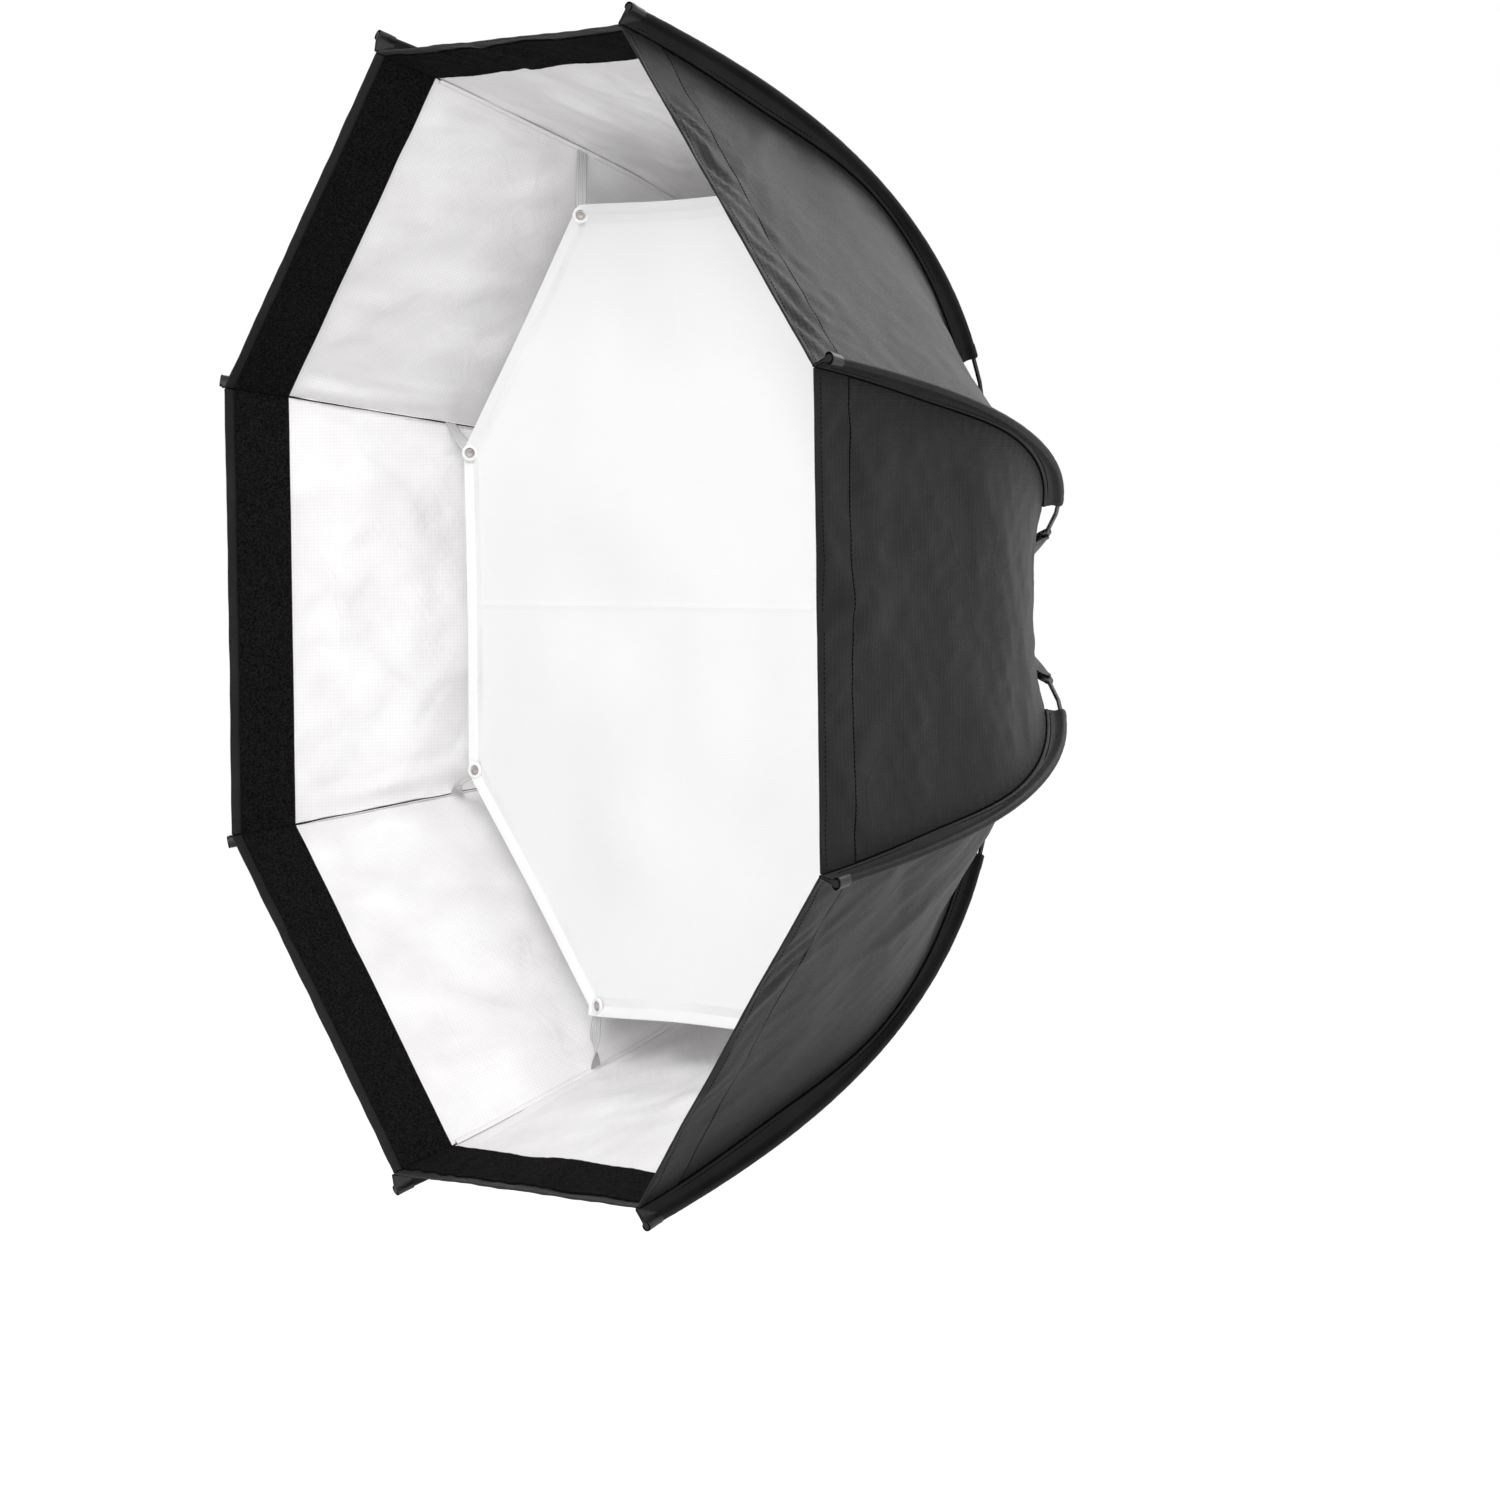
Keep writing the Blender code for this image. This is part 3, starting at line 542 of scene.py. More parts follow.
def make_thread():
    thread = Finish("black_thread", roughness=0.9, specular=0.02)
    ply = thread.noise(2500.0, 1.0)
    thread.paint(ply, (8, 8, 8), (18, 18, 18))
    thread.bump(ply, 0.00006)
    return thread.done()


def make_metal(name, low, high, roughness, scale, metallic, relief=0.00004, stretch=None):
    """Metal or moulded finish with uneven gloss and a little grain."""
    metal = Finish(name, roughness, metallic)
    shade = metal.noise(scale, 3.0, 0.55, stretch=stretch)
    metal.paint(shade, low, high)
    metal.link(metal.spread(shade, roughness - 0.07, roughness + 0.08, 0.3, 0.7), "Roughness")
    metal.bump(metal.noise(scale * 12, 2.0, stretch=stretch), relief)
    return metal.done()


NYLON = make_nylon()
LINING = make_lining()
SLEEVE = make_sleeve_cloth()
FLEECE = make_fleece()
DIFFUSION = make_diffusion()
TAPE = make_tape()
ELASTIC = make_elastic()
PATCH = make_patch()
BLACK_THREAD = make_thread()
SNAP_WHITE = make_metal("snap_white", (226, 226, 226), (240, 240, 240), 0.38, 40.0, 0.0)
SNAP_METAL = make_metal("snap_metal", (168, 160, 158), (205, 198, 195), 0.24, 60.0, 1.0)
CAD_FINISH = {
    "rod": make_metal("rod_enamel", (12, 12, 13), (22, 22, 23), 0.38, 80.0, 0.0),
    "strut": make_metal("strut_enamel", (16, 16, 17), (28, 28, 29), 0.40, 90.0, 0.2),
    "hub_ring": make_metal("hub_anodised", (38, 38, 40), (56, 56, 58), 0.42, 70.0, 0.8),
    "bayonet_ring": make_metal("ring_steel", (158, 158, 160), (196, 196, 198), 0.26, 40.0, 1.0,
                               0.00003, (1.0, 6.0, 1.0)),
    "runner_ring": make_metal("runner_nylon", (28, 28, 29), (40, 40, 41), 0.52, 110.0, 0.0,
                              0.00012),
    "catch_spring": make_metal("spring_steel", (150, 152, 158), (182, 184, 190), 0.28, 50.0,
                               1.0, 0.00003, (1.0, 5.0, 1.0))}
for name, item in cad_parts.items():
    stem = name if name in CAD_FINISH else name.rsplit("_", 1)[0]
    if stem in CAD_FINISH:
        for index in range(len(item.data.materials)):
            item.data.materials[index] = CAD_FINISH[stem]


# ---------------- the bowl

HEM_LINE = along_at_y(0.041)          # stitched edge of the hem on the outside
HEM_EDGE = along_at_y(STRIP_START)
BAND_END = along_at_y(STRIP_END) + 0.004
RIM_STITCH = 0.0052
SHADE_LINE_SHIFT, SHADE_LINE_HALF = 0.0013, 0.0009        # of the dark line on the hem beside its stitching: the thread's colour, and painted shade of the stitched groove
REAR_HEM = 0.010
# of the panels 1 to 8: how the hem's folds slant and how high they are, and how far the rim
# bows in
HEM_SLANT = (1.0, 1.0, -0.9, -1.0, 0.9, 1.0, -0.9, -1.0)
HEM_RIPPLE = (0.0018, 0.0013, 0.0010, 0.0008, 0.0010, 0.0014, 0.0008, 0.0003)
RIM_BOW = (0.0, 0.001, 0.001, 0.0045, 0.002, 0.001, 0.001, 0.0)
BRIGHT_SEAMS = (1, 2, 5, 6)           # their lining is rolled over the seam
TUCK_ROWS = 2                         # rows that a band reaches under the next one
COLUMNS = 40                          # of half a panel
ROW_STEP = 0.0048
BAND_GROWTH = 1.085                   # of the share that is kept, from a band to the next
CUT_ALLOWANCE = 0.006
# margins for a cut's width over its chord, and its length over the seam's
SPARE_ACROSS, SPARE_ALONG = 1.03, 1.06
HEM_RISE = 0.0006
ROLL_RISE, ROLL_AT = 0.0030, 0.014    # of the lining's roll, from the seam
FURROW_DEPTH, FURROW_AT = 0.0010, 0.014       # from the roll
FLAP_HEIGHT = 0.0034
TUCK_HALF = 0.0001
PILE, BAND_CUT = 0.0017, 0.0470       # of the loop band: its height and its cut depth
# slots of a bowl piece; the thread's slot also carries painted shade beside the hem's stitching
OUTSIDE, INSIDE, EDGE, THREAD_AND_SHADE = range(4)


def make_rows():
    """Distances from the rim of the rows of the mesh, close together at the hem's stitching."""
    marks = [0.0, 0.0015, 0.0045, HEM_EDGE, 0.014, 0.020, 0.026, 0.032, HEM_LINE - 0.0035,
             HEM_LINE - 0.0018, HEM_LINE - 0.0008, HEM_LINE, HEM_LINE + 0.0008,
             HEM_LINE + 0.0018, HEM_LINE + 0.005, BAND_END - 0.004, BAND_END]
    count = int((SEAM_LENGTH - REAR_HEM - BAND_END) / ROW_STEP)
    marks += list(np.linspace(BAND_END, SEAM_LENGTH - REAR_HEM, count + 1)[1:])
    marks += [SEAM_LENGTH - 0.0085, SEAM_LENGTH - 0.007, SEAM_LENGTH - 0.003, SEAM_LENGTH]
    return np.array(marks)


ROWS = make_rows()
ACROSS = np.linspace(0, 1, COLUMNS + 1) ** 0.9
ACROSS = np.concatenate([-ACROSS[::-1], ACROSS[1:]])


def fold_share():
    """Share of its width that the fabric keeps at each row when the rods are folded."""
    radius, y, _, _ = seam_at(ROWS)
    middle = radius * math.cos(HALF) ** 2
    return folded(middle, y)[0] / middle


def band_limits():
    """Rows at which the bands of a gore begin and end, and the share that each keeps."""
    keep = fold_share()
    first = int(np.searchsorted(ROWS, BAND_END - 1e-6))
    limits, level = [0, first], keep[first]
    for row in range(first + 1, len(ROWS) - 1):
        if keep[row] > level * BAND_GROWTH and len(ROWS) - 1 - row > 3:
            limits.append(row)
            level = keep[row]
    limits.append(len(ROWS) - 1)
    # the long band at the rim keeps a little less, so that its corners hardly cross
    shares = [float(keep[a:b + 1].max()) for a, b in zip(limits, limits[1:])]
    shares[0] = float(0.2 * keep[0] + 0.8 * keep[first])
    return list(zip(limits, limits[1:], shares))


BANDS = band_limits()


def panel_surfaces(index):
    """Outer and inner points and normals of one panel, in its own frame."""
    rng = np.random.default_rng(410 + index)
    u = ROWS[:, None]
    radius, y, lean, row = (line[:, None] for line in seam_at(ROWS))
    v = ACROSS[None, :]
    peak = SLEEVE_ROWS - 0.5
    pull = np.where(row < peak, PANEL_PULL * smooth(0, 1, row / peak),
                    PANEL_PULL * smooth(1, COLLAR_PULL, (row - peak) / (PANEL_ROWS - peak)))
    edge = (FIN_HALF + 0.0003 + PANEL_HALF / 2) / math.cos(HALF)
    half_width = radius * math.sin(HALF) - edge
    depth = pull * (1 - np.abs(v) ** 2.8)
    depth = depth + RIM_BOW[index] * (1 - v ** 2) * np.exp(-u / 0.10)
    z = v * half_width
    base = under(radius * math.cos(HALF), y, lean, depth, z)
    normal = grid_normals(base)
    from_seam = half_width - np.abs(z)
    free = smooth(0, 1, from_seam / 0.030)
    box = [(0.0, SEAM_LENGTH), (-0.17, 0.17)]

    # both layers together: a taut cloth with long shallow pulls from its corners
    shared = 0.0009 * free * waves(rng, u, z, 0.07, 0.20)
    for low, high in ((0.15, 1.15), (-1.15, -0.15)):
        shared += free * creases(rng, u, z, 7, box, (0.10, 0.26), (0.008, 0.018),
                                 (0.0005, 0.0014), (low, high))
    shared *= 0.25 + 0.75 * smooth(0, 1, u / 0.006)

    # the hem's slanting folds, most of their height in both layers
    hem = smooth(1, 0, (u - HEM_LINE) / 0.0012)
    pitch = rng.uniform(0.032, 0.040)
    slant = HEM_SLANT[index] * rng.uniform(0.8, 1.2)
    ripple = np.sin(TURN * ((z + slant * u) / pitch + 0.50 * waves(rng, u * 0, z, 0.07, 0.20)))
    ripple = np.sign(ripple) * np.abs(ripple) ** 1.2
    ripple += 0.30 * np.sin(TURN * ((z + 1.3 * slant * u) / (0.43 * pitch)
                                    + 0.8 * waves(rng, u * 0, z, 0.05, 0.2)))
    swell = np.clip(0.60 + 0.5 * waves(rng, u * 0, z, 0.06, 0.16), 0.1, 1.2)
    inside_hem = np.sin(math.pi * np.clip(u / (HEM_LINE - 0.003), 0, 1)) ** 0.8
    ripple = ripple * swell * inside_hem * (0.2 + 0.8 * free) * hem * HEM_RIPPLE[index]
    shared += 0.85 * ripple

    # outside: the hem's thickness and stitched groove, puckers at the sleeve, pulls behind
    # the hem, the rear hem and its gathers, and creases
    outer = HEM_RISE * hem + 0.15 * ripple - 0.0003 * bell(u - HEM_LINE, 0.0011)
    pucker = np.sin(TURN * (u / 0.0135 + 0.3 * waves(rng, u, z * 0, 0.05, 0.12)))
    outer += 0.0004 * pucker * bell(from_seam - 0.006, 0.006)
    behind_hem = smooth(0, 1, (u - HEM_LINE) / 0.010) * np.exp(-(u - HEM_LINE) / 0.045)
    outer += 0.0007 * behind_hem * free * waves(rng, u * 0.35, z, 0.018, 0.045)
    outer += 0.0008 * smooth(0, 1, (u - (SEAM_LENGTH - 0.0088)) / 0.0010)
    gather = np.sin(TURN * (z / 0.0115 + 0.3 * waves(rng, u * 0, z, 0.03, 0.08)))
    outer += 0.0006 * gather * np.exp((u - SEAM_LENGTH) / 0.016)
    outer += 0.0003 * waves(rng, u, z, 0.022, 0.06) * free
    outer += free * creases(rng, u, z, 16, box, (0.03, 0.11), (0.004, 0.008),
                            (0.0003, 0.0008))

    # inside: a looser lining, with a roll beside the seams, pulls behind the band and
    # the creases of packing
    behind = smooth(0, 1, (u - BAND_END + 0.002) / 0.02)
    roll_at = ROLL_AT + 0.004 * waves(rng, u, v * 0, 0.10, 0.25)
    roll = ROLL_RISE * bell(from_seam - roll_at, 0.0075) * (
        0.5 + 0.5 * np.clip(waves(rng, u, np.sign(v) * 0.3, 0.10, 0.30), -1, 1))
    furrow = -FURROW_DEPTH * bell(from_seam - roll_at - FURROW_AT, 0.005)
    pull = waves(rng, u * 0.25, z, 0.030, 0.070) * np.exp(-(u - BAND_END) / 0.07)
    swag = waves(rng, u * 0.30, from_seam, 0.020, 0.050) * np.exp(-from_seam / 0.035)
    inner = behind * (roll + furrow + free * (
        0.0012 * waves(rng, u, z, 0.05, 0.12) + 0.0017 * pull
        + creases(rng, u, z, 14, box, (0.06, 0.18), (0.006, 0.011), (0.0007, 0.0018))
        + creases(rng, u, z, 24, box, (0.04, 0.15), (0.0040, 0.0060), (0.0005, 0.0011),
                  sharp=True)) + 0.0008 * swag * smooth(0, 1, from_seam / 0.010))
    inner = np.maximum(inner + 0.0006 * (u < HEM_EDGE), -0.0002)

    outer_points = base + normal * (PANEL_HALF + shared + np.maximum(outer, -0.0002))[..., None]
    inner_points = base + normal * (-PANEL_HALF + shared - inner)[..., None]
    return outer_points, inner_points, base + normal * shared[..., None], z


def panel_layers(index):
    outer, inner, middle, z = panel_surfaces(index)
    return {"outer": outer, "inner": inner, "tuck": middle, "outer_n": grid_normals(outer),
            "inner_n": -grid_normals(inner), "uv": pairs(z, ROWS[:, None])}


PANELS = [panel_layers(index) for index in range(SIDES)]


def seam_flap(cloth, rows, station, side):
    """Edge of the lining that stands up beside the seam, inside the bowl."""
    rng = np.random.default_rng(2000 + 2 * station + (side > 0))
    radius, y, lean, _ = seam_at(ROWS)
    tall = FLAP_HEIGHT + 0.0004 * waves(rng, ROWS, 0 * ROWS, 0.02, 0.09)
    tall = tall * smooth(0.15, 1, (ROWS - BAND_END) / 0.02)
    lean_over = 0.0004 * waves(rng, ROWS, 0 * ROWS, 0.03, 0.12)
    # share of the height, and distance from the seam's plane
    outline = [(0.24, 0.00135), (0.4, 0.00115), (0.6, 0.00110), (0.93, 0.00105),
               (1.0, 0.00085), (0.93, 0.00062), (0.5, 0.00062), (0.24, 0.00062)]
    loops = []
    for part, offset in outline:
        depth = part * tall
        sway = lean_over * np.clip(depth / FLAP_HEIGHT, 0, 1)
        loops.append(under(radius, y, lean, depth, side * offset + sway))
    loops = np.stack(loops, 1)[rows]
    run = pairs(np.arange(len(outline)) * 0.001, ROWS[rows][:, None])
    cloth.tube(turned(loops, rod_angle(station)), INSIDE, run, flip=side < 0)


def seam_tube(cloth, rows, station, outline, slot):
    """A closed strip along the seam; outline gives depth and half width going round."""
    radius, y, lean, _ = (line[rows] for line in seam_at(ROWS))
    loops = np.stack([under(radius, y, lean, *corner) for corner in outline], 1)
    run = pairs(np.arange(len(outline)) * 0.0008, ROWS[rows][:, None])
    cloth.tube(turned(loops, rod_angle(station)), slot, run)


def ellipse(depth, tall, wide):
    count = 10
    turns = np.linspace(0, TURN, count + 1)[:-1] + math.pi / count
    return [(depth + tall * math.cos(t), wide * math.sin(t)) for t in turns]


def gore_sides(station):
    """The two half panels beside a rod: their layers and the angle of their frame."""
    angle = rod_angle(station)
    right, left = PANELS[station], PANELS[(station - 1) % SIDES]
    return [(right, slice(0, COLUMNS + 1), angle + HALF),
            (left, slice(COLUMNS, 2 * COLUMNS + 1), angle - HALF)]


def rounded_edge(outer, inner, lean_out):
    """Rows that close a sheet round its folded edge."""
    middle, half = (outer + inner) / 2, (outer - inner) / 2
    size = np.linalg.norm(half, axis=-1, keepdims=True)
    turns = np.linspace(math.pi / 2, -math.pi / 2, 6)
    return np.stack([middle + half * math.sin(t) + lean_out * size * math.cos(t)
                     for t in turns])


def gore_band(station, number, first, last):
    """One band of a gore as a closed double layer of cloth."""
    cloth = Cloth()
    rows = slice(first, last + 1)
    along = ROWS[rows, None]
    # painted shade: a dark line on the hem beside the stitching; the lining begins behind the
    # loop band
    outside = np.where(np.abs(along[:-1] + SHADE_LINE_SHIFT - HEM_LINE) < SHADE_LINE_HALF, THREAD_AND_SHADE, OUTSIDE)
    inside = np.where(along[1:] < BAND_END - 0.001, OUTSIDE, INSIDE)
    area = 0.0
    for layers, columns, angle in gore_sides(station):
        outer, inner, outer_n, inner_n = (turned(layers[name][rows, columns], angle)
                                          for name in ("outer", "inner", "outer_n", "inner_n"))
        uv = layers["uv"][rows, columns]
        cloth.slab(outer, inner, outside, uv, outer_n, inner_n, inside, (first > 0, True))
        if first > 0:
            seam_flap(cloth, rows, station, 1 if columns.start else -1)
        if last < len(ROWS) - 1:
            reach = slice(last, last + TUCK_ROWS + 1)
            tuck = turned(layers["tuck"][reach, columns], angle)
            thin = TUCK_HALF * turned(layers["outer_n"][reach, columns], angle)
            cloth.slab(tuck + thin, tuck - thin)
            area += grid_area(tuck)
        if first == 0:
            rim = rounded_edge(outer[0], inner[0], unit(outer[0] - outer[1]))
            cloth.grid(rim, EDGE, pairs(uv[0, :, 0], np.linspace(0, 0.004, len(rim))[:, None]),
                       flip=True)
        area += grid_area((outer + inner) / 2)
    seam_tube(cloth, rows, station, ellipse(0.0, 0.0007, 0.0016), THREAD_AND_SHADE)
    if first > 0 and station in BRIGHT_SEAMS:
        seam_tube(cloth, rows, station, ellipse(0.0026, 0.0014, 0.0030), INSIDE)
    item = cloth.object(f"bowl_{station + 1}_{number + 1}",
                        [NYLON, LINING, SLEEVE, BLACK_THREAD])
    # the area is measured on the modelled middle surface and not on a pattern; the cut has an
    # allowance on each side of the seam, and goes on under the next band
    end = ROWS[min(last + TUCK_ROWS, len(ROWS) - 1)]
    area += 2 * CUT_ALLOWANCE * (ROWS[last] - ROWS[first])
    chord = 2 * seam_at(ROWS[first])[0] * math.sin(HALF)
    flat = (chord * SPARE_ACROSS + 2 * CUT_ALLOWANCE, (end - ROWS[first]) * SPARE_ALONG)
    return item, flat, area


def grid_area(points):
    across = np.cross(points[1:, :-1] - points[:-1, :-1], points[:-1, 1:] - points[:-1, :-1])
    return float(np.linalg.norm(across, axis=-1).sum())


def on_rows(grid, along):
    """Points of a grid at one distance from the rim, or at several."""
    lines = np.array([[np.interp(along, ROWS, line) for line in column.T]
                      for column in grid.swapaxes(0, 1)])
    return lines if np.ndim(along) == 0 else np.moveaxis(lines, -1, 0)


def follow(item, station):
    """A piece of the bowl rides on its rod."""
    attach(item, f"rod_{station + 1}")
    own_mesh(item)


def loop_band(station):
    """Brushed loop band inside the rim, along two half panels."""
    cloth = Cloth()
    rng = np.random.default_rng(77 + station)
    area = 0.0
    along = np.linspace(HEM_EDGE - 0.0015, along_at_y(STRIP_END) - 0.0012, 12)
    for layers, columns, angle in gore_sides(station):
        grid, lift = (on_rows(turned(layers[name][:, columns], angle), along)
                      for name in ("inner", "inner_n"))
        lift = unit(lift)
        pile = PILE + 0.00012 * rng.standard_normal(grid.shape[:2])
        low, high = grid + lift * 0.0003, grid + lift * pile[..., None]
        width = np.linalg.norm(grid - grid[:, :1], axis=-1)
        cloth.slab(low, high, 0, pairs(width, along[:, None]))
        area += grid_area(high)
    item = cloth.object(f"loop_band_{station + 1}", [FLEECE])
    return item, (2 * RIM_RADIUS * math.sin(HALF), BAND_CUT), area


for station in range(SIDES):
    tag = station + 1
    for number, (first, last, keep) in enumerate(BANDS):
        item, flat, area = gore_band(station, number, first, last)
        follow(item, station)
        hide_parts(f"panel_{tag}")
    item, flat, area = loop_band(station)
    follow(item, station)
    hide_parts(f"loop_strip_{tag}")


# ---------------- sleeves and pockets

SLEEVE_WRAP, POCKET_WRAP = 2.35, 2.25         # how far round the rod each is a tube
SLEEVE_BULGE = 0.0004                 # of the folded edge beside the seam
SLEEVE_THREAD_AND_SHADE = (14, 15)              # columns of the section painted black: under the stitching, and painted shade of the groove beside the folded edge
CUFF_AT, CUFF_RISE = 0.978, 0.00035   # the doubled rear end of the tunnel


def sleeve_section(width, inside, radius):
    """Half outline of a sleeve, from its outer side to its inner edge: (depth, half width)."""
    bulge = FIN_HALF + SLEEVE_BULGE
    turns = np.linspace(0, SLEEVE_WRAP, 9)
    circle = [(-radius * math.cos(t), radius * math.sin(t)) for t in turns]
    neck = radius + 0.0018
    fin = [(neck, FIN_HALF + 0.0004), (neck + 0.0012, FIN_HALF)]
    fin += [(width * 0.55, FIN_HALF), (width - 0.0040, FIN_HALF),
            (width - 0.0030, bulge), (width - 0.0016, bulge),
            (width - 0.0012, FIN_HALF), (width - 0.0004, FIN_HALF)]
    edge = [(width + inside * 0.8, FIN_HALF * 0.9), (width + inside, FIN_HALF * 0.3)]
    return np.array(circle + fin + edge)


def sleeve(station):
    """Sewn sleeve: a tunnel round the rod, a flat fin and the seam that stands inside."""
    rng = np.random.default_rng(900 + station)
    shares = np.concatenate([np.linspace(1.0, 0.975, 7), np.linspace(0.965, 0.02, 110),
                             [0.012, 0.006, 0.0]])
    beyond = np.array([0.0010, 0.0020, POCKET_LENGTH - 0.0006])
    distance = np.concatenate([ROD_LENGTH - shares * SLEEVE_LENGTH, ROD_LENGTH + beyond])
    shares = np.concatenate([shares, np.zeros(len(beyond))])
    radius, y, lean = rod_at(distance)
    sway = 0.0005 * np.sin(distance / 0.031 + rng.uniform(0, 6)) * smooth(0, 1, shares / 0.06)
    loops = []
    for index, share in enumerate(shares):
        inside = 0.75 * SEAM_ALLOWANCE * float(smooth(0.1, 1, (share - 0.10) / 0.03))
        full = TUNNEL_RADIUS - 0.0001 + 0.00005 * rng.standard_normal()
        if share > CUFF_AT:
            full += CUFF_RISE
        width = float(fin_width(share)) + (0.00003 * rng.standard_normal() if share else 0.0)
        half = sleeve_section(width, inside, full)
        swing = sway[index] * np.sin(np.pi * np.clip(half[:, 0] / width, 0, 1))
        near = np.concatenate([half, half[::-1] * (1, -1)])
        swing = np.concatenate([swing, swing[::-1]])
        loops.append(under(radius[index], y[index], lean[index], near[:, 0],
                           near[:, 1] + swing))
    loops = np.array(loops)
    columns = np.arange(loops.shape[1])
    depth = np.minimum(columns, len(columns) - 2 - columns)
    # the black on these columns is partly the thread and partly painted shade of the groove
    slots = np.broadcast_to(np.isin(depth, SLEEVE_THREAD_AND_SHADE).astype(int),
                            (len(loops) - 1, len(columns)))
    return Cloth().tube(turned(loops, rod_angle(station)), slots,
                        pairs(distances(loops[0]), distance[:, None])).object(
        f"sleeve_cloth_{station + 1}", [SLEEVE, BLACK_THREAD])


def pocket(station):
    """Coated patch folded over the rod's tip: it opens to a mouth at its front, painted black
    inside as painted shade of the hollow.
    """
    rng = np.random.default_rng(1200 + station)
    # distance past the rod's tip, radius of the tube, lift of its middle, depth of the fold
    stages = [(-0.0130, 0.00350, 0.0000, 0.0062), (-0.0127, 0.00375, 0.0001, 0.0066),
              (-0.0100, 0.00380, 0.0001, 0.0080), (-0.0070, 0.00390, 0.0002, 0.0098),
              (-0.0040, 0.00400, 0.0003, 0.0118), (-0.0010, 0.00410, 0.0004, 0.0134),
              (0.0012, 0.00415, 0.0005, 0.0146), (0.0024, 0.00405, 0.0006, 0.0150)]
    mouth = [(0.0027, 0.00375, 0.0006, 0.0146), (0.0022, 0.00345, 0.0005, 0.0130),
             (-0.0004, 0.00320, 0.0004, 0.0100)]
    loops = []
    for past, full, lift, fold in stages + mouth:
        radius, y, lean = rod_at(ROD_LENGTH + past)
        turns = np.linspace(0, POCKET_WRAP, 11)
        full += 0.0001 * rng.standard_normal()
        half = [(-full * math.cos(t) - lift, 1.3 * full * math.sin(t)) for t in turns]
        low = half[-1][0]
        half += [(low + 0.0010, 0.0019), (low + (fold - low) * 0.55, 0.0014),
                 (fold, 0.0012), (fold + 0.0004, 0.0004)]
        half = np.array(half)
        ring = np.concatenate([half, half[::-1] * (1, -1)])
        loops.append(under(radius, y, lean, ring[:, 0], ring[:, 1]))
    loops = turned(np.array(loops), rod_angle(station))
    run = pairs(np.arange(loops.shape[1]) * 0.001, np.arange(len(loops))[:, None] * 0.002)
    # the lip and the inside of the mouth are painted black: painted shade of the hollow
    slots = np.where(np.arange(len(loops) - 1) < len(stages) - 1, 0, 1)[:, None]
    return Cloth().tube(loops, slots, run).object(f"tip_patch_{station + 1}",
                                                  [PATCH, BLACK_THREAD])


for station in range(SIDES):
    tag = station + 1
    cover, patch = sleeve(station), pocket(station)
    for item in (cover, patch):
        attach(item, f"rod_{tag}")
    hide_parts(f"sleeve_{tag}")


# ---------------- stitching

STITCH, STITCH_GAP = 0.0030, 0.0007
THREAD_HALF, THREAD_RISE = 0.00040, 0.00022
# corners of one stitch: 0 and 7 are its ends, 1 to 3 and 4 to 6 cross its back
STITCH_FACES = ((1, 2, 5, 4), (0, 2, 1), (7, 4, 5), (2, 3, 6, 5), (0, 3, 2), (7, 5, 6),
                (3, 1, 4, 6), (0, 1, 3), (7, 6, 4))


def stitches(name, paths, normals):
    """Rows of short thread bars that lie on paths of points."""
    points, faces = [], []
    for path, normal in zip(paths, normals):
        along = distances(path)
        for start in np.arange(STITCH_GAP / 2, along[-1] - STITCH, STITCH + STITCH_GAP):
            first, last, up = (np.array([np.interp(at, along, line[:, k]) for k in range(3)])
                               for at, line in ((start, path), (start + STITCH, path),
                                                (start, normal)))
            ahead = unit(last - first)
            up = unit(up)
            side, rise, inset = (np.cross(up, ahead) * THREAD_HALF, up * THREAD_RISE,
                                 ahead * STITCH * 0.22)
            faces += [[len(points) + corner for corner in face] for face in STITCH_FACES]
            points.append(first - rise * 0.2)
            for middle in (first + inset, last - inset):
                points += [middle + side, middle + rise, middle - side]
            points.append(last - rise * 0.2)
    mesh = new_mesh(name, [tuple(p) for p in points], faces, [BLACK_THREAD])
    mesh.uv_layers.new(name="UVMap")
    return add_object(name, mesh)


for station in range(SIDES):
    tag = station + 1
    paths, normals = [], []
    for layers, columns, angle in gore_sides(station):
        for along in (HEM_LINE, RIM_STITCH):
            line, up = (on_rows(turned(layers[layer][:, columns], angle), along)
                        for layer in ("outer", "outer_n"))
            up = unit(up)
            paths.append((line + up * 0.00012)[1:-1])
            normals.append(up[1:-1])
    hem = stitches(f"hem_stitch_{tag}", paths, normals)
    follow(hem, station)

    angle = rod_angle(station)
    paths, normals = [], []
    shares = np.linspace(0.985, 0.03, 120)
    radius, y, lean = rod_at(ROD_LENGTH - shares * SLEEVE_LENGTH)
    for lift in (0.0012, 0.0044):
        for side in (-1, 1):
            line = under(radius, y, lean, fin_width(shares) - lift, side * (FIN_HALF + 0.00008))
            paths.append(turned(line, angle))
            normals.append(turned(np.broadcast_to((0.0, 0.0, side), line.shape), angle))
    seam = stitches(f"sleeve_stitch_{tag}", paths, normals)
    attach(seam, f"rod_{tag}")


# ---------------- inner diffuser

DIFFUSER_Y = RIM_Y + DIFFUSER_BEHIND_RIM
TAPE_WIDTH = 0.0085
TAPE_CURL = 0.0050                    # how far the taped edge turns to the front
CLOTH_ROWS = 40                       # of the wedge inside its tape
CLOTH_HALF = 0.0005
CURL_REACH = 0.006                    # of the curl beyond the tape
SCOOP = 0.0016                        # of the edge between two corners
COLUMN_DEGREES = 1.3
# of the corners 1 to 8, in x and z, as the straps pull them
CORNER_SHIFT = ((0.0, 0.004), (0.001, 0.0075), (-0.002, 0.0076), (-0.002, 0.0),
                (-0.0017, -0.0046), (0.006, -0.0083), (0.0, -0.008), (0.0, -0.004))
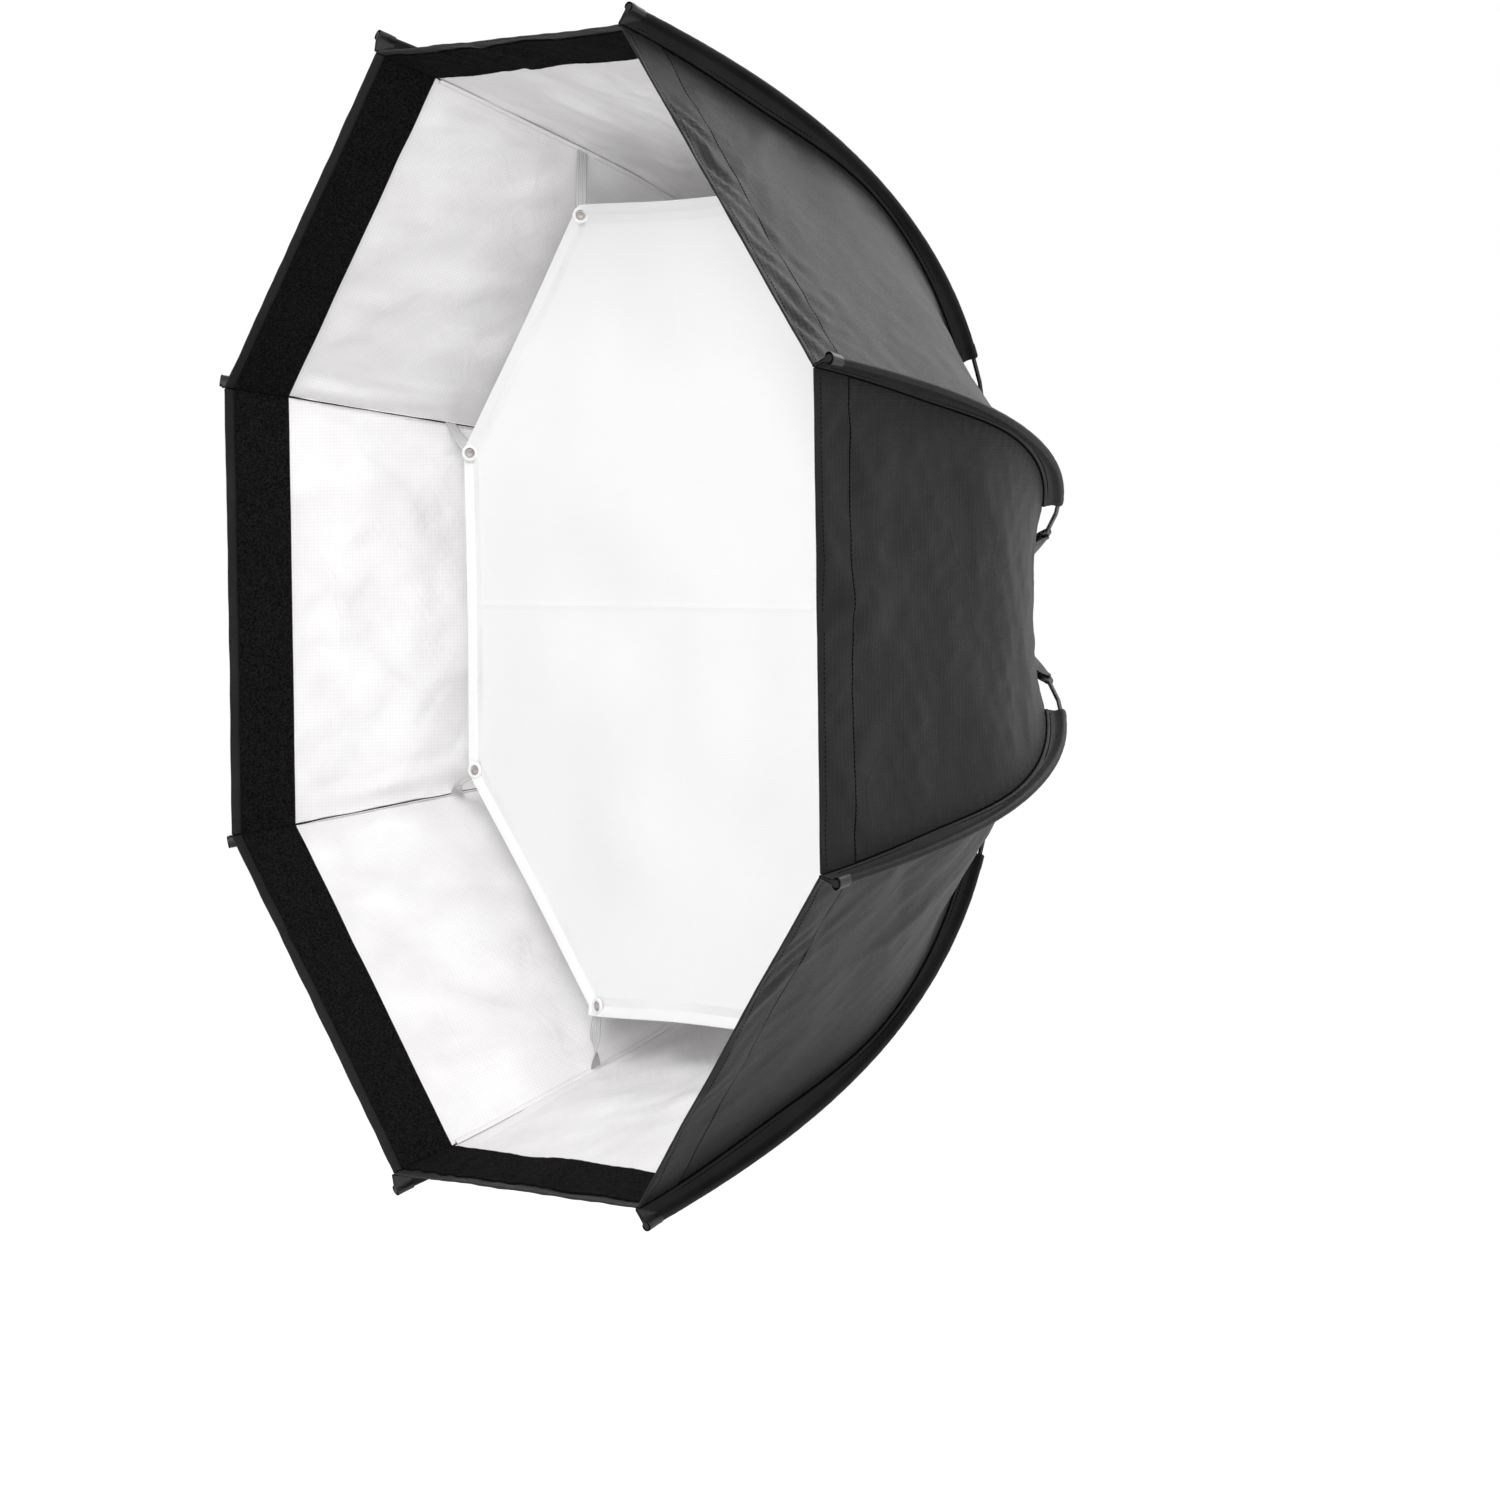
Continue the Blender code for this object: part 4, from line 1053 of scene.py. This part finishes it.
# one corner's wedges, in degrees from the rod: where each begins and ends, and its keep
WEDGES = ((-1.5, 1.5, DIFFUSER_KEEP), (1.5, 8.0, 0.315), (8.0, 15.0, 0.290),
          (15.0, 30.0, 0.290), (30.0, 37.0, 0.290), (37.0, 43.5, 0.315))


def diffuser_height(x, z):
    """Gentle billow of the cloth."""
    free = smooth(1, 0, (np.hypot(x, z) - 0.20) / 0.13)
    return 0.0016 * free * waves(np.random.default_rng(31), x, z, 0.12, 0.35)


def diffuser_corner(station):
    """Where a strap holds the corner of the cloth, (x, z)."""
    angle = rod_angle(station)
    dx, dz = CORNER_SHIFT[station]
    return np.array([DIFFUSER_RADIUS * math.cos(angle) + dx,
                     DIFFUSER_RADIUS * math.sin(angle) + dz])


def octagon_reach(angles):
    """Distance from the centre to the edge of the diffuser, scooped between its corners."""
    reach = []
    for turn in angles:
        station = int(math.floor((turn - HALF) / STEP + 1e-9)) % SIDES
        a, b = diffuser_corner(station), diffuser_corner((station + 1) % SIDES)
        ray, side = np.array([math.cos(turn), math.sin(turn)]), b - a
        cross = ray[0] * side[1] - ray[1] * side[0]
        distance = (a[0] * side[1] - a[1] * side[0]) / cross
        share = (a[0] * ray[1] - a[1] * ray[0]) / cross
        reach.append(distance - SCOOP * math.sin(math.pi * min(max(share, 0), 1)) ** 2)
    return np.array(reach)


def diffuser_wedge(name, start, end):
    """A wedge of the diffuser between two directions, its edge bound with tape."""
    columns = max(6, round(math.degrees(end - start) / COLUMN_DEGREES))
    angles = np.linspace(start, end, columns + 1)
    edge = octagon_reach(angles)[None, :]
    inner = np.linspace(0.0, 1.0, CLOTH_ROWS) ** 0.9
    reach = inner[:, None] * (edge - TAPE_WIDTH)
    bind = edge - TAPE_WIDTH + TAPE_WIDTH * np.array([0.04, 0.10, 0.5, 0.92, 1.0])[:, None]
    lift = np.concatenate([np.zeros(CLOTH_ROWS - 1),
                           [-0.0001, -0.0001, 0.0006, 0.0007, 0.0006, 0.0001]])
    reach = np.concatenate([reach, bind])
    x, z = reach * np.cos(angles), reach * np.sin(angles)
    near = np.clip((reach - edge + TAPE_WIDTH + CURL_REACH) / (TAPE_WIDTH + CURL_REACH), 0, 1)
    wave = diffuser_height(x, z) + TAPE_CURL * near ** 1.6
    front = np.stack([x, DIFFUSER_Y - CLOTH_HALF - wave - lift[:, None], z], -1)
    back = np.stack([x, DIFFUSER_Y + CLOTH_HALF - wave + lift[:, None], z], -1)
    taped = np.arange(len(reach)) >= CLOTH_ROWS - 1
    tape = taped[:-1].astype(int)[:, None]
    uv = np.where(taped[:, None, None], pairs(angles * DIFFUSER_RADIUS, reach), pairs(x, z))
    cloth = Cloth()
    cloth.slab(front, back, tape, uv, smooth_normals(front), -smooth_normals(back), tape,
               (False, False))
    cloth.grid(rounded_edge(front[-1], back[-1], unit(front[-1] - front[-2])), 1)
    item = cloth.object(name, [DIFFUSION, TAPE])
    area = float((0.5 * edge[0, 1:] * edge[0, :-1] * np.sin(np.diff(angles))).sum())
    return item, area


def smooth_normals(points):
    normals = grid_normals(points)
    normals[0] = normals[1]
    return normals


for station in range(SIDES):
    for number, (start, end, keep) in enumerate(WEDGES):
        start, end = (rod_angle(station) + math.radians(turn) for turn in (start, end))
        item, area = diffuser_wedge(f"diffuser_{station + 1}_{number + 1}", start, end)
        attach(item, "diffuser")
        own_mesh(item)
        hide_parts("inner_diffuser")


# ---------------- straps and snaps

# of the corners 1 to 8
SNAP_TURN = (0.1, 0.3, 0.78, 0.78, 0.38, 0.05, -0.1, 0.0)       # of the snap, about Z
STRAP_TURN = (0.0, 0.2, 0.0, 0.25, 1.35, -1.2, 0.3, 0.0)        # extra turn at mid-length
STRAP_SAG = (0.001, 0.001, 0.0005, 0.001, 0.003, 0.002, 0.003, 0.001)
STRAP_HALF, STRAP_SPAN = 0.0046, 0.062
SNAP_LIFT = 0.0045                    # in front of the diffuser


def snap_place(station):
    """Middle of a snap and the way it faces."""
    corner = diffuser_corner(station)
    toward = corner / np.linalg.norm(corner)
    x, z = corner - toward * SNAP_INSET
    turn = SNAP_TURN[station]
    facing = np.array([math.sin(turn), -math.cos(turn), 0.0])
    return np.array([x, DIFFUSER_Y - SNAP_LIFT, z]), facing


def strap(station):
    """Ribbed elastic from the seam to the snap at the diffuser's corner."""
    angle = rod_angle(station)
    radius, y, lean, _ = seam_at(along_at_y(STRAP_BEHIND_RIM))
    start = turned(under(radius, y, lean, 0.0008, 0.0), angle)
    sewn = turned(np.array([-math.cos(lean), math.sin(lean), 0.0]), angle)
    place, facing = snap_place(station)
    end = place - facing * 0.0012
    ahead = unit(end - start)
    final = unit(np.cross(facing, ahead))
    if (sewn * final).sum() < 0:
        sewn = -sewn
    t = np.linspace(0, 1, 40)[:, None]
    path = start + (end - start) * t
    path[:, 1:2] -= STRAP_SAG[station] * np.sin(math.pi * t)
    ahead = unit(np.gradient(path, axis=0))
    turn = STRAP_TURN[station] * np.sin(math.pi * t) ** 2
    wide = unit(sewn * (1 - smooth(0, 1, t)) + final * smooth(0, 1, t))
    wide = unit(wide - ahead * (wide * ahead).sum(-1, keepdims=True))
    thick = np.cross(wide, ahead)
    wide, thick = (wide * np.cos(turn) + thick * np.sin(turn),
                   thick * np.cos(turn) - wide * np.sin(turn))
    across = np.linspace(-1, 1, 21)
    ribs = 0.00042 + 0.00014 * np.cos(across * math.pi * 3)
    middle = path[:, None] + wide[:, None] * (across * STRAP_HALF)[None, :, None]
    rise = thick[:, None] * ribs[None, :, None]
    loops = np.concatenate([middle + rise, (middle - rise)[:, ::-1]], 1)
    uv = pairs(np.concatenate([across, -across]) * STRAP_HALF,
               np.linspace(0, STRAP_SPAN, len(path))[:, None])
    return Cloth().tube(loops, 0, uv).object(f"elastic_strap_{station + 1}", [ELASTIC])


def snap(station):
    """White plastic ring round a metal stud, through strap, tape and cloth."""
    # radius and height of their sections
    ring = [(0.0041, -0.0010), (0.0041, 0.0006), (0.0045, 0.0011), (0.0055, 0.0014),
            (0.0066, 0.0011), (0.0072, 0.0003), (0.0072, -0.0004), (0.0068, -0.0010)]
    stud = [(0.0000, 0.0010), (0.0012, 0.0010), (0.0022, 0.0007), (0.0027, 0.0002),
            (0.0030, 0.0008), (0.0035, 0.0010), (0.0040, 0.0005), (0.0040, -0.0006)]
    turns = np.linspace(0, TURN, 41)[:-1]
    place, facing = snap_place(station)
    side = np.array([-facing[1], facing[0], 0.0])
    up = np.array([0.0, 0.0, 1.0])
    cloth = Cloth()
    for slot, profile, closed in ((0, ring, True), (1, stud, False)):
        profile = np.array(profile + profile[:1] if closed else profile)
        points = (place + profile[:, None, 0, None] * (np.cos(turns)[:, None] * side
                                                       + np.sin(turns)[:, None] * up)
                  + profile[:, None, 1, None] * facing)
        cloth.grid(points, slot, wrap=True)
    return cloth.object(f"snap_{station + 1}", [SNAP_WHITE, SNAP_METAL])


for station in range(SIDES):
    tag = station + 1
    angle = rod_angle(station)
    band = strap(station)
    stud = snap(station)
    for item, slot_name in ((band, "elastic"), (stud, "moulded_plastic")):
        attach(item, "diffuser")
        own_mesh(item)
    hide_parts(f"strap_{tag}")


# ---------------- stage, light, camera

FLOOR_Z, FLOOR_HALF = -0.90, 60.0
FLOOR_GLOW = (0.50, 0.72)             # near the object and far away
WORLD_LIGHT = 0.37
BOWL_MIDDLE = (0.0, -0.22, 0.0)
# name, place, size and power of each lamp, and whether metal mirrors it
LAMPS = (("front", (1.3, -2.5, 2.3), (2.6, 2.0), 84.0, False),
         ("side", (2.6, -2.4, 0.2), (1.8, 1.8), 32.0, False),
         ("top", (0.6, 0.6, 2.8), (3.0, 2.4), 9.0, True),
         ("rear", (-0.9, 2.6, 1.7), (1.6, 1.2), 21.0, True))
# the camera that was fitted to the photo: degrees, metres, and focal length in pixels
AZIMUTH, ELEVATION, ROLL = 59.408, 1.033, -0.796
DISTANCE, AIM_RIGHT, AIM_UP = 6.172, 0.19555, -0.11041
FOCAL_PIXELS, IMAGE_PIXELS, SENSOR = 7676.8, 1500, 36.0


def seen(tree):
    """1 for rays from the camera and rays that metal or glass sends on, else 0."""
    path = node(tree, "ShaderNodeLightPath").outputs
    value = maths(tree, "MAXIMUM", path["Is Camera Ray"], path["Is Glossy Ray"])
    return maths(tree, "MAXIMUM", value, path["Is Transmission Ray"])


def make_floor():
    """Pale floor that reads white to the camera and keeps a soft shadow."""
    corners = [(x * FLOOR_HALF, y * FLOOR_HALF, FLOOR_Z)
               for x, y in ((-1, -1), (1, -1), (1, 1), (-1, 1))]
    floor = Finish("floor", roughness=1.0, specular=0.0)
    floor.shader.inputs["Base Color"].default_value = (0.80, 0.80, 0.80, 1.0)
    reach = floor.node("ShaderNodeVectorMath", {0: floor.place}, operation="LENGTH")
    rise = floor.node("ShaderNodeMapRange", {
        "Value": reach.outputs["Value"], "From Min": 1.0, "From Max": 5.0,
        "To Min": FLOOR_GLOW[0], "To Max": FLOOR_GLOW[1]}, interpolation_type="SMOOTHSTEP")
    glow = floor.node("ShaderNodeEmission", {
        "Strength": floor.maths("MULTIPLY", seen(floor.tree), rise.outputs[0])})
    both = floor.node("ShaderNodeAddShader", {0: floor.shader.outputs[0], 1: glow.outputs[0]})
    floor.tree.links.new(both.outputs[0], floor.tree.nodes["Material Output"].inputs["Surface"])
    mesh = new_mesh("floor", corners, [(0, 1, 2, 3)], [floor.material])
    add_object("floor", mesh)


def make_world():
    """White to the camera, and a soft light for the object."""
    world = bpy.data.worlds.new("studio")
    bpy.context.scene.world = world
    world.use_nodes = True
    tree = world.node_tree
    tree.nodes.clear()
    soft, white = (node(tree, "ShaderNodeBackground", {"Color": (1.0, 1.0, 1.0, 1.0),
                                                       "Strength": strength}).outputs[0]
                   for strength in (WORLD_LIGHT, 1.0))
    mix = node(tree, "ShaderNodeMixShader", {0: seen(tree), 1: soft, 2: white})
    node(tree, "ShaderNodeOutputWorld", {"Surface": mix.outputs[0]})


def make_lamps():
    for name, place, size, power, mirrored in LAMPS:
        data = bpy.data.lights.new(name, "AREA")
        data.shape = "RECTANGLE"
        data.size, data.size_y = size
        data.energy = power
        item = add_object(name, data)
        item.location = place
        item.rotation_mode = "QUATERNION"
        item.rotation_quaternion = (Vector(BOWL_MIDDLE) - Vector(place)).to_track_quat("-Z", "Y")
        item.visible_camera = False
        item.visible_glossy = mirrored


def make_camera():
    azimuth, elevation, roll = (math.radians(a) for a in (AZIMUTH, ELEVATION, ROLL))
    centre = Vector((0.0, RIM_Y, 0.0))
    back = Vector((math.sin(azimuth) * math.cos(elevation),
                   -math.cos(azimuth) * math.cos(elevation), math.sin(elevation)))
    right = Vector((math.cos(azimuth), math.sin(azimuth), 0.0))
    place = centre + back * DISTANCE
    aim = centre + right * AIM_RIGHT + right.cross(-back) * AIM_UP
    ahead = (aim - place).normalized()
    right = ahead.cross(Vector((0, 0, 1))).normalized()
    up = right.cross(ahead)
    c, s = math.cos(roll), math.sin(roll)
    right, up = c * right + s * up, -s * right + c * up
    data = bpy.data.cameras.new("camera")
    data.sensor_width = SENSOR
    data.lens = FOCAL_PIXELS / IMAGE_PIXELS * SENSOR
    item = add_object("camera", data)
    item.matrix_world = Matrix.Translation(place) @ Matrix(
        (right, up, -ahead)).transposed().to_4x4()
    bpy.context.scene.camera = item


make_floor()
make_world()
make_lamps()
make_camera()
bpy.context.scene.view_settings.view_transform = "Standard"
